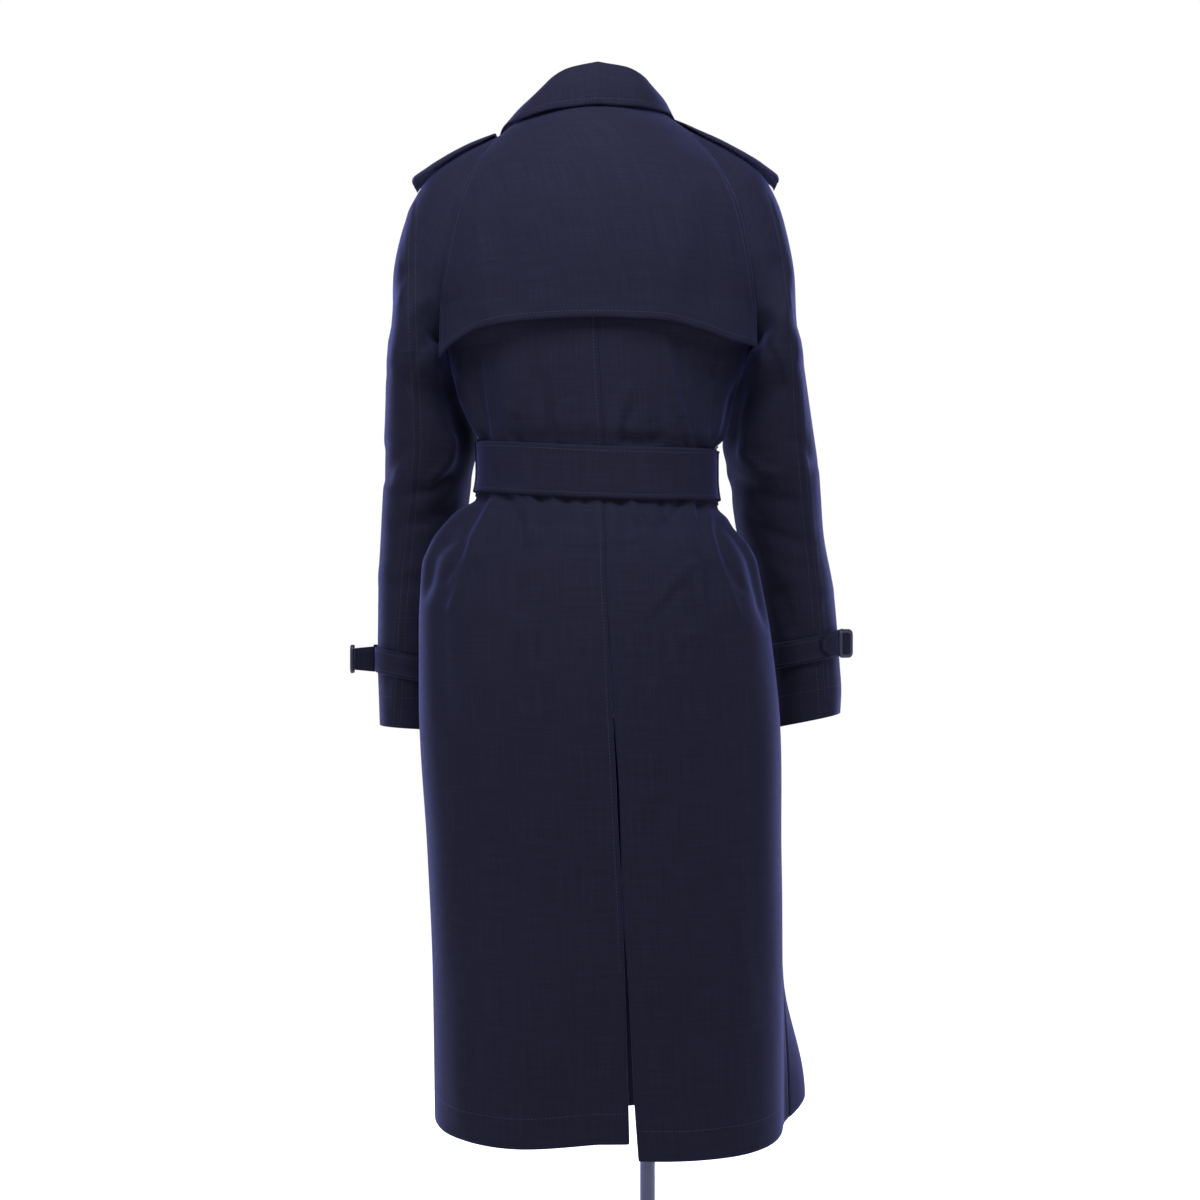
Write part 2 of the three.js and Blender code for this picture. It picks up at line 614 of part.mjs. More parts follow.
// Round a sleeve: 0 is its outer side, 90 the back, 180 its inner side
function sleeveRingAt(side, turn, level, lift) {
  const face = turn <= 180 ? "back" : "front";
  const across = Math.abs(turn - 180) / 180;
  const normal = sleeveNormal(side, face, level, across);
  return { point: sleevePoint(side, face, level, across).addScaledVector(normal, lift), normal };
}

function cuffMiddle(side, turn) {
  const name = side > 0 ? "Left" : "Right";
  const inner = (1 - Math.cos(turn * DEG)) / 2;
  return cuffStrap["outer" + name] + (cuffStrap["inner" + name] - cuffStrap["outer" + name]) * inner;
}

function cuffStrapGrid(side) {
  const lift = cuffStrap.lift + cuffStrap.thick;
  return [-0.5, 0, 0.5].map((high) =>
    spread(0, 345, 24).map((turn) =>
      sleeveRingAt(side, turn, cuffMiddle(side, turn) + high * cuffStrap.wide, lift)));
}

// The strap's end lies over the strap and narrows to its tip
function cuffTipGrid(side) {
  const lift = cuffStrap.lift + 2 * cuffStrap.thick + cuffTip.gap;
  return spread(0, 1, 7).map((along) => {
    const behind = cuffTip.from + (cuffTip.to - cuffTip.from) * along;
    const turn = side > 0 ? 360 - behind : behind; // the left one lies on the sleeve's front
    const wide = cuffStrap.wide * (1 - 0.6 * smooth((along - 0.75) * 4));
    const middle = cuffMiddle(side, turn) + cuffTip.rise;
    return [-0.5, 0, 0.5].map((high) => sleeveRingAt(side, turn, middle + high * wide, lift));
  });
}

// Turns a piece made facing +Y to face a level direction and moves it to a point
function face(geometry, normal, point) {
  return geometry.rotateZ(Math.atan2(-normal.x, normal.y)).translate(point.x, point.y, point.z);
}

// A closed solid from rings of points, each ring the same size, with flat ends
function ringSolid(rings) {
  const count = rings[0].length;
  const positions = rings.flat().flatMap((p) => [p.x, p.y, p.z]);
  const index = [];
  for (let i = 0; i < rings.length - 1; i++) {
    for (let j = 0; j < count; j++) {
      const k = (j + 1) % count;
      index.push(i * count + j, i * count + k, (i + 1) * count + k);
      index.push(i * count + j, (i + 1) * count + k, (i + 1) * count + j);
    }
  }
  for (const [ring, flip] of [[0, true], [rings.length - 1, false]]) {
    const middle = rings[ring].reduce((sum, p) => sum.add(p), new THREE.Vector3()).divideScalar(count);
    const hub = positions.length / 3;
    positions.push(middle.x, middle.y, middle.z);
    for (let j = 0; j < count; j++) {
      const [a, b] = [ring * count + j, ring * count + ((j + 1) % count)];
      index.push(hub, flip ? b : a, flip ? a : b);
    }
  }
  const geometry = new THREE.BufferGeometry();
  geometry.setAttribute("position", new THREE.Float32BufferAttribute(positions, 3));
  geometry.setIndex(index);
  return outward(geometry);
}

function formRing(level, inset = 0) {
  const at = (column) => columnAt(form, level, column);
  return spread(0, 345, 24).map((turn) => {
    const angle = turn * DEG;
    const [sin, cos] = [Math.sin(angle), Math.cos(angle)];
    const reach = arcReach(Math.acos(Math.abs(cos)), cos > 0 ? formPower.back : formPower.front);
    const deep = cos > 0 ? at("back") : -at("front");
    return new THREE.Vector3(sin * reach * (at("half") - inset), cos * reach * (deep - inset), level);
  });
}

// A rectangular frame with rounded corners, upright and facing +Y
function frameGeometry({ wide, tall, thick, bar, corner }) {
  const rounded = (shape, w, h, r) => {
    shape.moveTo(-w / 2 + r, -h / 2);
    shape.lineTo(w / 2 - r, -h / 2).absarc(w / 2 - r, -h / 2 + r, r, -Math.PI / 2, 0);
    shape.lineTo(w / 2, h / 2 - r).absarc(w / 2 - r, h / 2 - r, r, 0, Math.PI / 2);
    shape.lineTo(-w / 2 + r, h / 2).absarc(-w / 2 + r, h / 2 - r, r, Math.PI / 2, Math.PI);
    shape.lineTo(-w / 2, -h / 2 + r).absarc(-w / 2 + r, -h / 2 + r, r, Math.PI, Math.PI * 1.5);
    return shape;
  };
  const outline = rounded(new THREE.Shape(), wide, tall, corner);
  outline.holes.push(rounded(new THREE.Path(), wide - 2 * bar, tall - 2 * bar, corner / 3));
  const settings = { depth: thick, bevelEnabled: false, curveSegments: 3 };
  const geometry = new THREE.ExtrudeGeometry(outline, settings);
  return geometry.translate(0, 0, -thick / 2).rotateX(Math.PI / 2);
}

for (const [name, side] of [["left", 1], ["right", -1]]) {
  add(coat, "back_" + name, wallGeometry(backPanel(side), wall), cloth);
  add(coat, "front_" + name, wallGeometry(frontPanel(side), wall), cloth);
  for (const face of ["back", "front"]) {
    add(coat, `sleeve_${name}_${face}`, wallGeometry(sleevePanel(side, face), wall), cloth);
  }
  const lapelGrid = spread(0, 1, 11).map((up) => spread(0, 1, 5).map((out) => lapelAt(side, up, out)));
  add(coat, "lapel_" + name, wallGeometry(lapelGrid, lapel.thick), cloth);
  add(coat, "epaulette_" + name, wallGeometry(epauletteGrid(side), epaulette.thick), cloth);
  add(coat, "cuff_strap_" + name, wallGeometry(cuffStrapGrid(side), cuffStrap.thick, true), cloth);
  add(coat, "cuff_tip_" + name, wallGeometry(cuffTipGrid(side), cuffStrap.thick), cloth);
  const turn = side > 0 ? cuffBuckle.turnLeft : cuffBuckle.turnRight;
  const reach = side > 0 ? cuffTab.reach + 0.6 : cuffStrap.thick + cuffTip.gap;
  const out = cuffStrap.lift + cuffStrap.thick + reach + 0.9 + cuffBuckle.thick / 2;
  const held = sleeveRingAt(side, turn, cuffMiddle(side, turn), out);
  add(coat, "cuff_buckle_" + name, face(frameGeometry(cuffBuckle), held.normal, held.point), covered);
  const loop = loopGrid(side * 90, 2.4, belt.lift + belt.thick + 0.6 + 1.4);
  add(coat, "belt_loop_" + name, wallGeometry(loop, 1.4), cloth);
}

const flapRows = spread(0, flapLevels.length + 1, flapLevels.length + 2);
const flapGrid = flapRows.map((row) => spread(-1, 1, 21).map((across) => flapAt(across, row)));
add(coat, "storm_flap", wallGeometry(flapGrid, flap.thick), cloth);

const collarGrid = spread(-1, 1, 17).map((along) => {
  const section = collarSection(along);
  const near = collarSection(Math.min(1, along + 0.01));
  const far = collarSection(Math.max(-1, along - 0.01));
  return section.map((point, i) => {
    const down = section[Math.min(i + 1, 6)].clone().sub(section[Math.max(i - 1, 0)]);
    const normal = down.cross(near[i].clone().sub(far[i])).normalize().negate();
    return { point, normal };
  });
});
add(coat, "collar", wallGeometry(collarGrid, collarWall), cloth);

// The belt runs from one side of the buckle's bar to the other, and its tail lies over it
const beltLift = belt.lift + belt.thick;
const tailLift = beltLift + tail.thick + 1.4;
add(coat, "belt", wallGeometry(beltGrid(-176, 176, 45, belt.low, belt.high, beltLift), belt.thick), cloth);
add(coat, "belt_tail", wallGeometry(
  beltGrid(181, 109, 10, belt.low + tail.inset, belt.high - tail.inset, tailLift), tail.thick), cloth);
add(coat, "belt_keeper", wallGeometry(loopGrid(126, 3.6, tailLift + 0.8 + 1.4), 1.4), cloth);

const torso = spread(0, form.length - 1, form.length).map((i) => formRing(form[i].level));
add(coat, "form_torso", ringSolid(torso), linen);
const neckTop = form[form.length - 1].level;
const cap = [formRing(neckTop, neckCap.inset), formRing(neckTop, neckCap.inset + 1)];
cap[0].forEach((p) => (p.z += 0.3));
cap[1].forEach((p) => (p.z += neckCap.high));
add(coat, "form_neck_cap", ringSolid(cap), linen);

const tabLift = cuffStrap.lift + cuffStrap.thick + cuffTab.gap + cuffTab.reach / 2;
const tabFoot = sleeveRingAt(1, 0, cuffMiddle(1, 0), tabLift);
const tabGeometry = new THREE.BoxGeometry(cuffTab.thick, cuffTab.reach, cuffTab.wide);
add(coat, "cuff_tab_left", face(tabGeometry, tabFoot.normal, tabFoot.point), cloth);

const middle = ringAt(180, 1020, tailLift - 0.3);
middle.point.y -= beltBuckle.thick / 2;
const forward = new THREE.Vector3(0, -1, 0);
add(coat, "belt_buckle", face(frameGeometry(beltBuckle), forward, middle.point), covered);

// Two columns of buttons on the upper front
button.levels.forEach((level, row) => {
  for (const [name, side] of [["left", 1], ["right", -1]]) {
    const across = acrossAt("front", level, (side * button.apart) / 2);
    const { point, normal } = frontAt(-1, level, across, button.lift);
    const geometry = new THREE.CylinderGeometry(button.radius, button.radius, button.thick, 20);
    geometry.translate(0, button.thick / 2, 0);
    const tilt = new THREE.Quaternion().setFromUnitVectors(new THREE.Vector3(0, 1, 0), normal);
    geometry.applyQuaternion(tilt);
    add(coat, `button_${name}_${row + 1}`, geometry.translate(point.x, point.y, point.z), horn);
  }
});

const poleFoot = base.thick + pole.gap;
const poleGeometry = new THREE.CylinderGeometry(pole.radius, pole.radius, pole.top - poleFoot, 24);
poleGeometry.rotateX(Math.PI / 2).translate(0, 0, (pole.top + poleFoot) / 2);
add(group, "form_pole", poleGeometry, steel);
const baseGeometry = new THREE.CylinderGeometry(base.radius, base.radius, base.thick, 48);
add(group, "form_base", baseGeometry.rotateX(Math.PI / 2).translate(0, 0, base.thick / 2), steel);

export default group;
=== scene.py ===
# Belted navy trench coat on a dress form: looks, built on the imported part.
# Sizes are in millimetres in the coat's own frame until a mesh is made.
import math

import bpy
import numpy as np
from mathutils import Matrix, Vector


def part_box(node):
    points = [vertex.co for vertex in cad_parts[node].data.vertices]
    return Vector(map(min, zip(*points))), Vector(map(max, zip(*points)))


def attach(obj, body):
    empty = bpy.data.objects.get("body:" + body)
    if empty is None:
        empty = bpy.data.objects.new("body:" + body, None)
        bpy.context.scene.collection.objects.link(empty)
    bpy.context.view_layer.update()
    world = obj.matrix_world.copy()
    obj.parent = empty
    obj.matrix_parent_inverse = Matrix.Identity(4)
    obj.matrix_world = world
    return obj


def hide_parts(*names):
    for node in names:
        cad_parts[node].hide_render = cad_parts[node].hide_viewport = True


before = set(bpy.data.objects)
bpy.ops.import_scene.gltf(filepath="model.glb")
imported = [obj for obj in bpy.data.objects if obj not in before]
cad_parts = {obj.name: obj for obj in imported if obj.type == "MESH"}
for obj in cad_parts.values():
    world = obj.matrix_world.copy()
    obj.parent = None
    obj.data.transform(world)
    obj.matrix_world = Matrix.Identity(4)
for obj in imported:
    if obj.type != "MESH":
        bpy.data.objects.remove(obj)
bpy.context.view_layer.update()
print("frame loaded")

coatX = 52.0  # from the pole to the coat's middle
hem, underarm, neckline, cuff = 340.0, 1150.0, 1404.0, 750.0
hemReach = 170.0
wall = 2.0
lapLift = 3.4
frontLap = 80.0
belt = {"low": 994.0, "high": 1046.0, "thick": 3.0, "lift": 0.8, "tilt": 4.5, "sideRise": 4.5}


# Smooth tables: the first column is the place, the others are values there
def table(columns, rows):
    data = np.array(rows, float)
    return {"key": columns[0], **{name: data[:, i] for i, name in enumerate(columns)}}


def columnAt(rows, at, column):
    keys, values = rows[rows["key"]], rows[column]
    place = np.clip(np.asarray(at, float), keys[0], keys[-1])
    slopes = np.diff(values) / np.diff(keys)
    both = slopes[:-1] * slopes[1:]
    total = slopes[:-1] + slopes[1:]
    safe = np.where(np.abs(total) < 1e-12, 1.0, total)
    tangents = np.concatenate([[slopes[0]], np.where(both <= 0, 0.0, 2 * both / safe), [slopes[-1]]])
    i = np.clip(np.searchsorted(keys, place, side="left") - 1, 0, len(keys) - 2)
    step = keys[i + 1] - keys[i]
    t = (place - keys[i]) / step
    return (values[i] * (1 + 2 * t) * (1 - t) ** 2 + tangents[i] * step * t * (1 - t) ** 2
            + values[i + 1] * t * t * (3 - 2 * t) + tangents[i + 1] * step * t * t * (t - 1))


def smooth(t):
    c = np.clip(t, 0, 1)
    return c * c * (3 - 2 * c)


bodyTable = table(["level", "backX", "backY", "backZ", "backTurn", "backCentre",
    "frontX", "frontY", "frontZ", "frontTurn", "frontCentre", "frontCentreZ",
    "right", "backPinch", "frontPinch"],
  [
    [340, 170, 18, 340, 90, 152, 170, 18, 340, 90, -146, 340, 1.141, 0.92, 1.1],
    [500, 172, 20, 500, 90, 151, 172, 20, 500, 90, -144, 500, 1.122, 0.92, 1.15],
    [628, 177.5, 22, 628, 90, 150, 177.5, 22, 628, 90, -143, 628, 1.076, 0.92, 1.2],
    [785, 186, 26, 785, 90, 147, 186, 26, 785, 90, -141, 785, 1.008, 0.92, 1.3],
    [860, 186, 28, 860, 90, 139, 186, 28, 860, 90, -136, 860, 0.96, 0.92, 1.3],
    [925, 183, 26, 925, 90, 125, 183, 26, 925, 90, -127, 925, 0.91, 0.92, 1.3],
    [950, 173, 24, 950, 90, 115, 173, 24, 950, 90, -119, 950, 0.9, 0.93, 1.25],
    [966, 160, 20, 966, 90, 106, 160, 20, 966, 90, -111, 966, 0.893, 0.95, 1.2],
    [980, 145, 15, 980, 90, 98, 145, 15, 980, 90, -105, 980, 0.93, 0.96, 1.12],
    [990, 128, 11, 990, 90, 92, 128, 11, 990, 90, -100, 990, 0.98, 0.97, 1.06],
    [1020, 123, 10, 1020, 90, 91, 123, 10, 1020, 90, -99, 1020, 0.985, 0.97, 1.05],
    [1050, 124, 9, 1050, 90, 92, 124, 9, 1050, 90, -100, 1050, 0.98, 0.97, 1.05],
    [1064, 131, 8, 1064, 90, 97, 131, 8, 1064, 90, -104, 1064, 1.02, 0.98, 1.04],
    [1100, 145, 4, 1100, 90, 101, 145, 4, 1100, 90, -111, 1100, 0.985, 0.99, 1.02],
    [1150, 158, 0, 1150, 90, 106, 158, 0, 1150, 90, -118, 1150, 0.995, 1, 1],
    [1172, 159.5, 38, 1163, 82, 109, 158.5, -37, 1162, 81, -123, 1171, 1, 1, 1],
    [1200, 158, 62, 1192, 74, 112, 156, -60, 1190, 72, -128, 1196, 1, 1, 1],
    [1245, 153, 73, 1240, 66, 113, 149, -72, 1236, 63, -130, 1232, 1, 1, 1],
    [1293, 143, 69, 1290, 60, 110, 139, -70, 1282, 56, -122, 1270, 1, 1, 1],
    [1335, 127, 52, 1334, 56, 102, 123, -58, 1320, 50, -104, 1300, 0.98, 1, 1],
    [1372, 101, 32, 1370, 52, 86, 97, -38, 1354, 45, -78, 1330, 0.97, 1, 1],
    [1404, 60, 30, 1400, 48, 58, 62, -22, 1382, 40, -50, 1352, 0.97, 1, 1],
  ],)

sleeveTable = table(["level", "inLeft", "inRight", "inY", "outLeft", "outRight", "outY",
    "outZLeft", "outZRight", "turn", "leave", "arrive"],
  [
    [750, 158, 183, -94, 237, 263, -94, 755, 768, 90, 74, 74],
    [785, 158, 184, -93, 238, 264, -93, 786, 792, 90, 75, 75],
    [820, 157, 181, -91, 239, 262, -92, 820, 822, 90, 77, 77],
    [900, 149, 166, -85, 238, 255, -87, 900, 900, 90, 81, 81],
    [960, 143, 150, -70, 234, 243, -72, 960, 960, 89, 85, 85],
    [1004, 137, 142, -57, 230, 238, -52, 1004, 1004, 86, 88, 88],
    [1030, 133, 136.5, -50, 227, 235, -40, 1030, 1030, 83, 92, 92],
    [1056, 127.2, 131.5, -44, 225, 230, -29, 1056, 1056, 80, 94, 94],
    [1100, 142, 140.6, -34, 223, 222, -14, 1100, 1100, 78, 98, 98],
    [1150, 158, 156.4, 0, 220.5, 214, -4, 1150, 1150, 90, 100, 100],
    [1172, 159, 159, 0, 217, 208, -4, 1208, 1208, 62, 70, 86],
    [1200, 159, 159, 0, 210, 201, -3, 1258, 1258, 32, 42, 62],
    [1245, 153, 153, 0, 196, 189, -2, 1303, 1305, 6, 24, 45],
    [1293, 143, 143, 0, 172, 167, -1, 1339, 1342, -18, 20, 34],
    [1335, 127, 124, 0, 140, 135, 1, 1360, 1363, -34, 14, 21],
    [1372, 101, 98, 0, 103, 97, 4, 1376, 1381, -50, 8, 10],
    [1404, 60, 58, 0, 64, 62, 6, 1391, 1394, -60, 7, 8],
  ],)

hemLeftTable = table(["turn", "lift"], [[0, 10], [30, 3], [60, 6], [90, 14], [120, 5], [150, -6], [180, -13]])

hemRightTable = table(["turn", "lift"],
  [[0, -5], [30, -9], [60, -6], [90, 10], [102, 24], [114, 34], [140, 6], [180, -13]])

foldsTable = table(["high", "low", "turnHigh", "turnLow", "width", "out"],
  [
    [1172, 1048, 45, 58, 7, -6],
    [1152, 1048, -39, -61, 7, -5.5],
    [1125, 1048, 76, 74, 8, 4],
    [1130, 1048, -80, -76, 8, -4],
    [992, 880, 60, 74, 8, -6],
    [992, 850, -66, -76, 8, -6],
    [1140, 1048, 116, 112, 9, -4.5],
    [1140, 1048, -116, -112, 9, -4.5],
    [992, 880, 116, 126, 8, -5],
    [992, 880, -116, -124, 8, -5],
    [550, 300, -107, -108, 15, 38],
    [600, 300, -88, -87, 8, -4],
    [640, 300, 116, 118, 12, 9],
    [700, 300, 34, 36, 14, 3],
    [700, 300, -44, -46, 13, 3],
  ],)

backSeamTable = table(["level", "x", "gap"],
  [[340, -36, 10], [400, -33, 7], [500, -29, 4.5], [600, -24, 1], [650, -22, 3], [700, -20, 3.6],
    [785, -15, 1.8], [860, -11, 0.8], [918, -8, 0.4], [1046, -6, 0.4], [1175, 0, 0.4], [1404, 0, 0.4]],)

frontEdgeTable = table(["level", "x", "inner"],
  [[340, 80, 80], [1120, 80, 80], [1150, 78, 78], [1172, 66, 66], [1200, 46, 46], [1245, 14, 14],
    [1293, -12, 31], [1335, -30, 44], [1372, -43, 53], [1404, -52, 57]],)

lapelWidthTable = table(["level", "w"],
  [[1166, 4], [1200, 34], [1245, 56], [1293, 70], [1335, 78], [1404, 60]])

collarTable = table(["along", "standX", "standY", "standZ", "foldX", "foldY", "foldZ",
    "edgeX", "edgeY", "edgeZ"],
  [
    [0, 0, 57, 1405.5, 0, 61, 1442, 0, 72.5, 1398],
    [0.2, 28, 53, 1405, 29, 56, 1436, 47, 65, 1394],
    [0.4, 52, 38, 1402.5, 50, 40, 1424, 80, 44, 1388],
    [0.6, 63, 14, 1396, 57, 14, 1414, 98, 18, 1385],
    [0.8, 64, -10, 1391, 57, -12, 1404, 104, -16, 1376],
    [1, 58, -30, 1385, 52, -36, 1392, 98, -54, 1354],
  ],)

flapEdgeTable = table(["across", "level"],
  [[-1, 1157], [-0.75, 1159], [-0.5, 1168], [-0.3, 1174], [0, 1175],
    [0.35, 1174], [0.6, 1170], [0.8, 1160], [1, 1147]],)


# The main folds go down the coat; each row is a line from its upper to its lower end
def foldOut(turn, level):
    total = np.zeros(np.broadcast(turn, level).shape)
    f = foldsTable
    for i in range(len(f["high"])):
        down = (f["high"][i] - level) / (f["high"][i] - f["low"][i])
        line = f["turnHigh"][i] + (f["turnLow"][i] - f["turnHigh"][i]) * down
        ends = smooth(down * 1.2) if f["low"][i] < hem else smooth(down * 3) * smooth((1 - down) * 4)
        inside = (down >= 0) & (down <= 1)
        push = f["out"][i] * ends * np.exp(-(((turn - line) / f["width"][i]) ** 2))
        total = total + np.where(inside, push, 0)
    return total


def hemLift(turn, level):
    fade = np.maximum(0, (hem + hemReach - level) / hemReach) ** 1.4
    split = 90 * acrossAt("back", level, columnAt(backSeamTable, level, "x"))
    right, left = columnAt(hemRightTable, -turn, "lift"), columnAt(hemLeftTable, np.maximum(0, turn), "lift")
    return fade * np.where(turn < split, right, left)


def arcReach(angle, power):
    sin, cos = np.sin(angle), np.maximum(1e-9, np.cos(angle))
    return (sin ** power + cos ** power) ** (-1 / power)


def faceArc(face, level, right):
    level = np.asarray(level, float)
    turn = np.radians(columnAt(bodyTable, level, face + "Turn"))
    power = 2 / columnAt(bodyTable, level, face + "Pinch")
    above = level > underarm
    seamX, seamY = (np.where(above, columnAt(bodyTable, level, face + axis),
                             columnAt(bodyTable, level, "back" + axis)) for axis in "XY")
    seamX = seamX * np.where(right, columnAt(bodyTable, level, "right"), 1)
    end = arcReach(turn, power)
    centre = columnAt(bodyTable, level, face + "Centre")
    centreZ = np.where(above, columnAt(bodyTable, level, "frontCentreZ"), level) if face == "front" else level
    return {"turn": turn, "power": power, "half": seamX / (np.sin(turn) * end),
            "depth": (centre - seamY) / (1 - np.cos(turn) * end), "centre": centre,
            "seamZ": np.where(above, columnAt(bodyTable, level, face + "Z"), level), "centreZ": centreZ}


# The coat's body: across is 0 on the centre line, 1 on the left seam and -1 on the right
def bodyPoints(face, level, across):
    level, across = np.broadcast_arrays(np.asarray(level, float), np.asarray(across, float))
    right = across < 0
    sign = np.where(right, -1.0, 1.0)
    arc = faceArc(face, level, right)
    angle = np.abs(across) * arc["turn"]
    reach = arcReach(angle, arc["power"])
    sin, cos = np.sin(angle) * reach, np.cos(angle) * reach
    away = (1 - np.cos(angle)) / (1 - np.cos(arc["turn"]))
    x = sign * arc["half"] * sin
    y = arc["centre"] - arc["depth"] * (1 - cos)
    z = arc["centreZ"] + (arc["seamZ"] - arc["centreZ"]) * away
    ring = 90 * across if face == "back" else sign * (180 - 90 * np.abs(across))
    outX, outY = sign * sin / arc["half"], cos / arc["depth"]
    length = np.hypot(outX, outY)
    push = foldOut(ring, level)
    x = x + outX / length * push
    y = y + outY / length * push
    nearBelt = np.maximum(0, 1 - np.abs(level - 1020) / 90)
    z = z + hemLift(ring, level) + belt["tilt"] * smooth(nearBelt * 1.5) * (x / 125)
    return np.stack([x, y, z], -1)


def acrossAt(face, level, x):
    arc = faceArc(face, level, np.asarray(x) < 0)
    sin = np.minimum(1, np.abs(x) / arc["half"])
    cos = (1 - sin ** arc["power"]) ** (1 / arc["power"])
    return np.sign(x) * np.arctan2(sin, cos) / arc["turn"]


# A sleeve: across is 0 on its inner or raglan seam and 1 on its outer seam
def sleevePoints(side, face, level, across):
    level, across = np.broadcast_arrays(np.asarray(level, float), np.asarray(across, float))
    at = lambda column: columnAt(sleeveTable, level, column)
    name, sign = ("Left", 1) if side > 0 else ("Right", -1)
    back = 1 if face == "back" else -1
    tube = (level <= underarm)[..., None]
    ring = np.stack([sign * at("in" + name), at("inY"), level], -1)
    start = np.where(tube, ring, bodyPoints(face, level, np.full(level.shape, float(sign))))
    end = np.stack([sign * at("out" + name), at("outY"), at("outZ" + name)], -1)
    turn = np.radians(at("turn"))
    zero = np.zeros(level.shape)
    handleA = start + np.stack([sign * np.cos(turn), back * np.sin(turn), zero], -1) * at("leave")[..., None]
    handleB = end + np.stack([zero, back * at("arrive"), zero], -1)
    handleA[..., 2] = start[..., 2] + (end[..., 2] - start[..., 2]) * 0.3
    handleB[..., 2] = end[..., 2]
    t = across[..., None]
    curve = start * (1 - t) ** 3 + 3 * handleA * t * (1 - t) ** 2
    return curve + 3 * handleB * t * t * (1 - t) + end * t ** 3


# Unit normals of a grid of points; normalsFrom turns them all away from a centre
def gridNormals(points, ring=False):
    if ring:
        wrapped = np.concatenate([points[:, -1:], points, points[:, :1]], 1)
        along = (wrapped[:, 2:] - wrapped[:, :-2])
    else:
        along = np.gradient(points, axis=1)
    up = np.gradient(points, axis=0)
    normals = np.cross(along, up)
    length = np.linalg.norm(normals, axis=-1, keepdims=True)
    return normals / np.maximum(length, 1e-9)


def normalsFrom(points, centre):
    normals = gridNormals(points)
    away = points - np.asarray(centre, float)
    return normals if np.sum(normals * away) > 0 else -normals


# Creases are strokes between two points as seen from the back or front: x0, z0, x1, z1,
# bow, width, steep (width beyond the line, as a share) and out (below 0 is a trough)
creaseSoft = {"wider": 1.15, "steepest": 0.62}


def creaseOut(creases, x, z):
    total = np.zeros(x.shape)
    for x0, z0, x1, z1, bow, narrow, steep, high in creases:
        width = narrow * creaseSoft["wider"]
        out = math.copysign(min(abs(high), width * creaseSoft["steepest"]), high)
        run = np.array([x1 - x0, z1 - z0])
        length = np.hypot(*run)
        run = run / length
        t = ((x - x0) * run[0] + (z - z0) * run[1]) / length
        d = (x - x0) * -run[1] + (z - z0) * run[0] - bow * 4 * t * (1 - t)
        ends = smooth(t * 4 + 0.6) * smooth((1 - t) * 4 + 0.6)
        w = np.where(d > 0, width * steep, width)
        total = total + out * ends * np.exp(-((d / w) ** 2))
    return total


# Near a seam both panels take the mean of the creases on its two sides
def joinedCreases(own, other, points, toSeam):
    x, z = points[..., 0], points[..., 2]
    share = 0.5 + 0.5 * smooth(toSeam / 22)
    total = creaseOut(own, x, z) * share + creaseOut(other, x, z) * (1 - share)
    total = total * (0.42 + 0.58 * smooth(toSeam / 75))  # side light would draw them too brightly there
    return total * (1 - smooth((z - 1130) / 20) * (1 - smooth(toSeam / 16)))


# Distances along each row of a grid, from its first column
def runLengths(points):
    steps = np.linalg.norm(np.diff(points, axis=1), axis=-1)
    return np.concatenate([np.zeros((len(points), 1)), np.cumsum(steps, 1)], 1)


# The path on a grid that stays a distance in from one of its edges, with its normals
def insetPath(points, normals, edge, distance):
    if edge in ("low", "high"):
        points, normals = points.transpose(1, 0, 2), normals.transpose(1, 0, 2)
    if edge in ("high", "last"):
        points, normals = points[:, ::-1], normals[:, ::-1]
    runs = runLengths(points)
    path, out = [], []
    for row in range(len(points)):
        j = int(np.clip(np.searchsorted(runs[row], distance) - 1, 0, len(runs[row]) - 2))
        t = (distance - runs[row][j]) / max(1e-9, runs[row][j + 1] - runs[row][j])
        path.append(points[row, j] * (1 - t) + points[row, j + 1] * t)
        out.append(normals[row, j] * (1 - t) + normals[row, j + 1] * t)
    return np.array(path), np.array(out)


root = "root"
pieces = {}


def toFrame(points):
    moved = np.array(points, float).reshape(-1, 3) / 1000
    moved[:, 0] += coatX / 1000
    return moved


def addMesh(name, verts, faces, material, uv=None, smoothShade=True):
    mesh = bpy.data.meshes.new(name)
    mesh.from_pydata(verts.tolist(), [], faces)
    mesh.validate()
    if uv is not None:
        layer = mesh.uv_layers.new(name="cloth")
        loops = np.empty(len(mesh.loops), int)
        mesh.loops.foreach_get("vertex_index", loops)
        layer.data.foreach_set("uv", uv[loops].astype(np.float32).ravel())
    if smoothShade:
        mesh.shade_smooth()
    mesh.materials.append(material)
    obj = bpy.data.objects.new(name, mesh)
    bpy.context.collection.objects.link(obj)
    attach(obj, root)
    pieces[name] = obj
    return obj


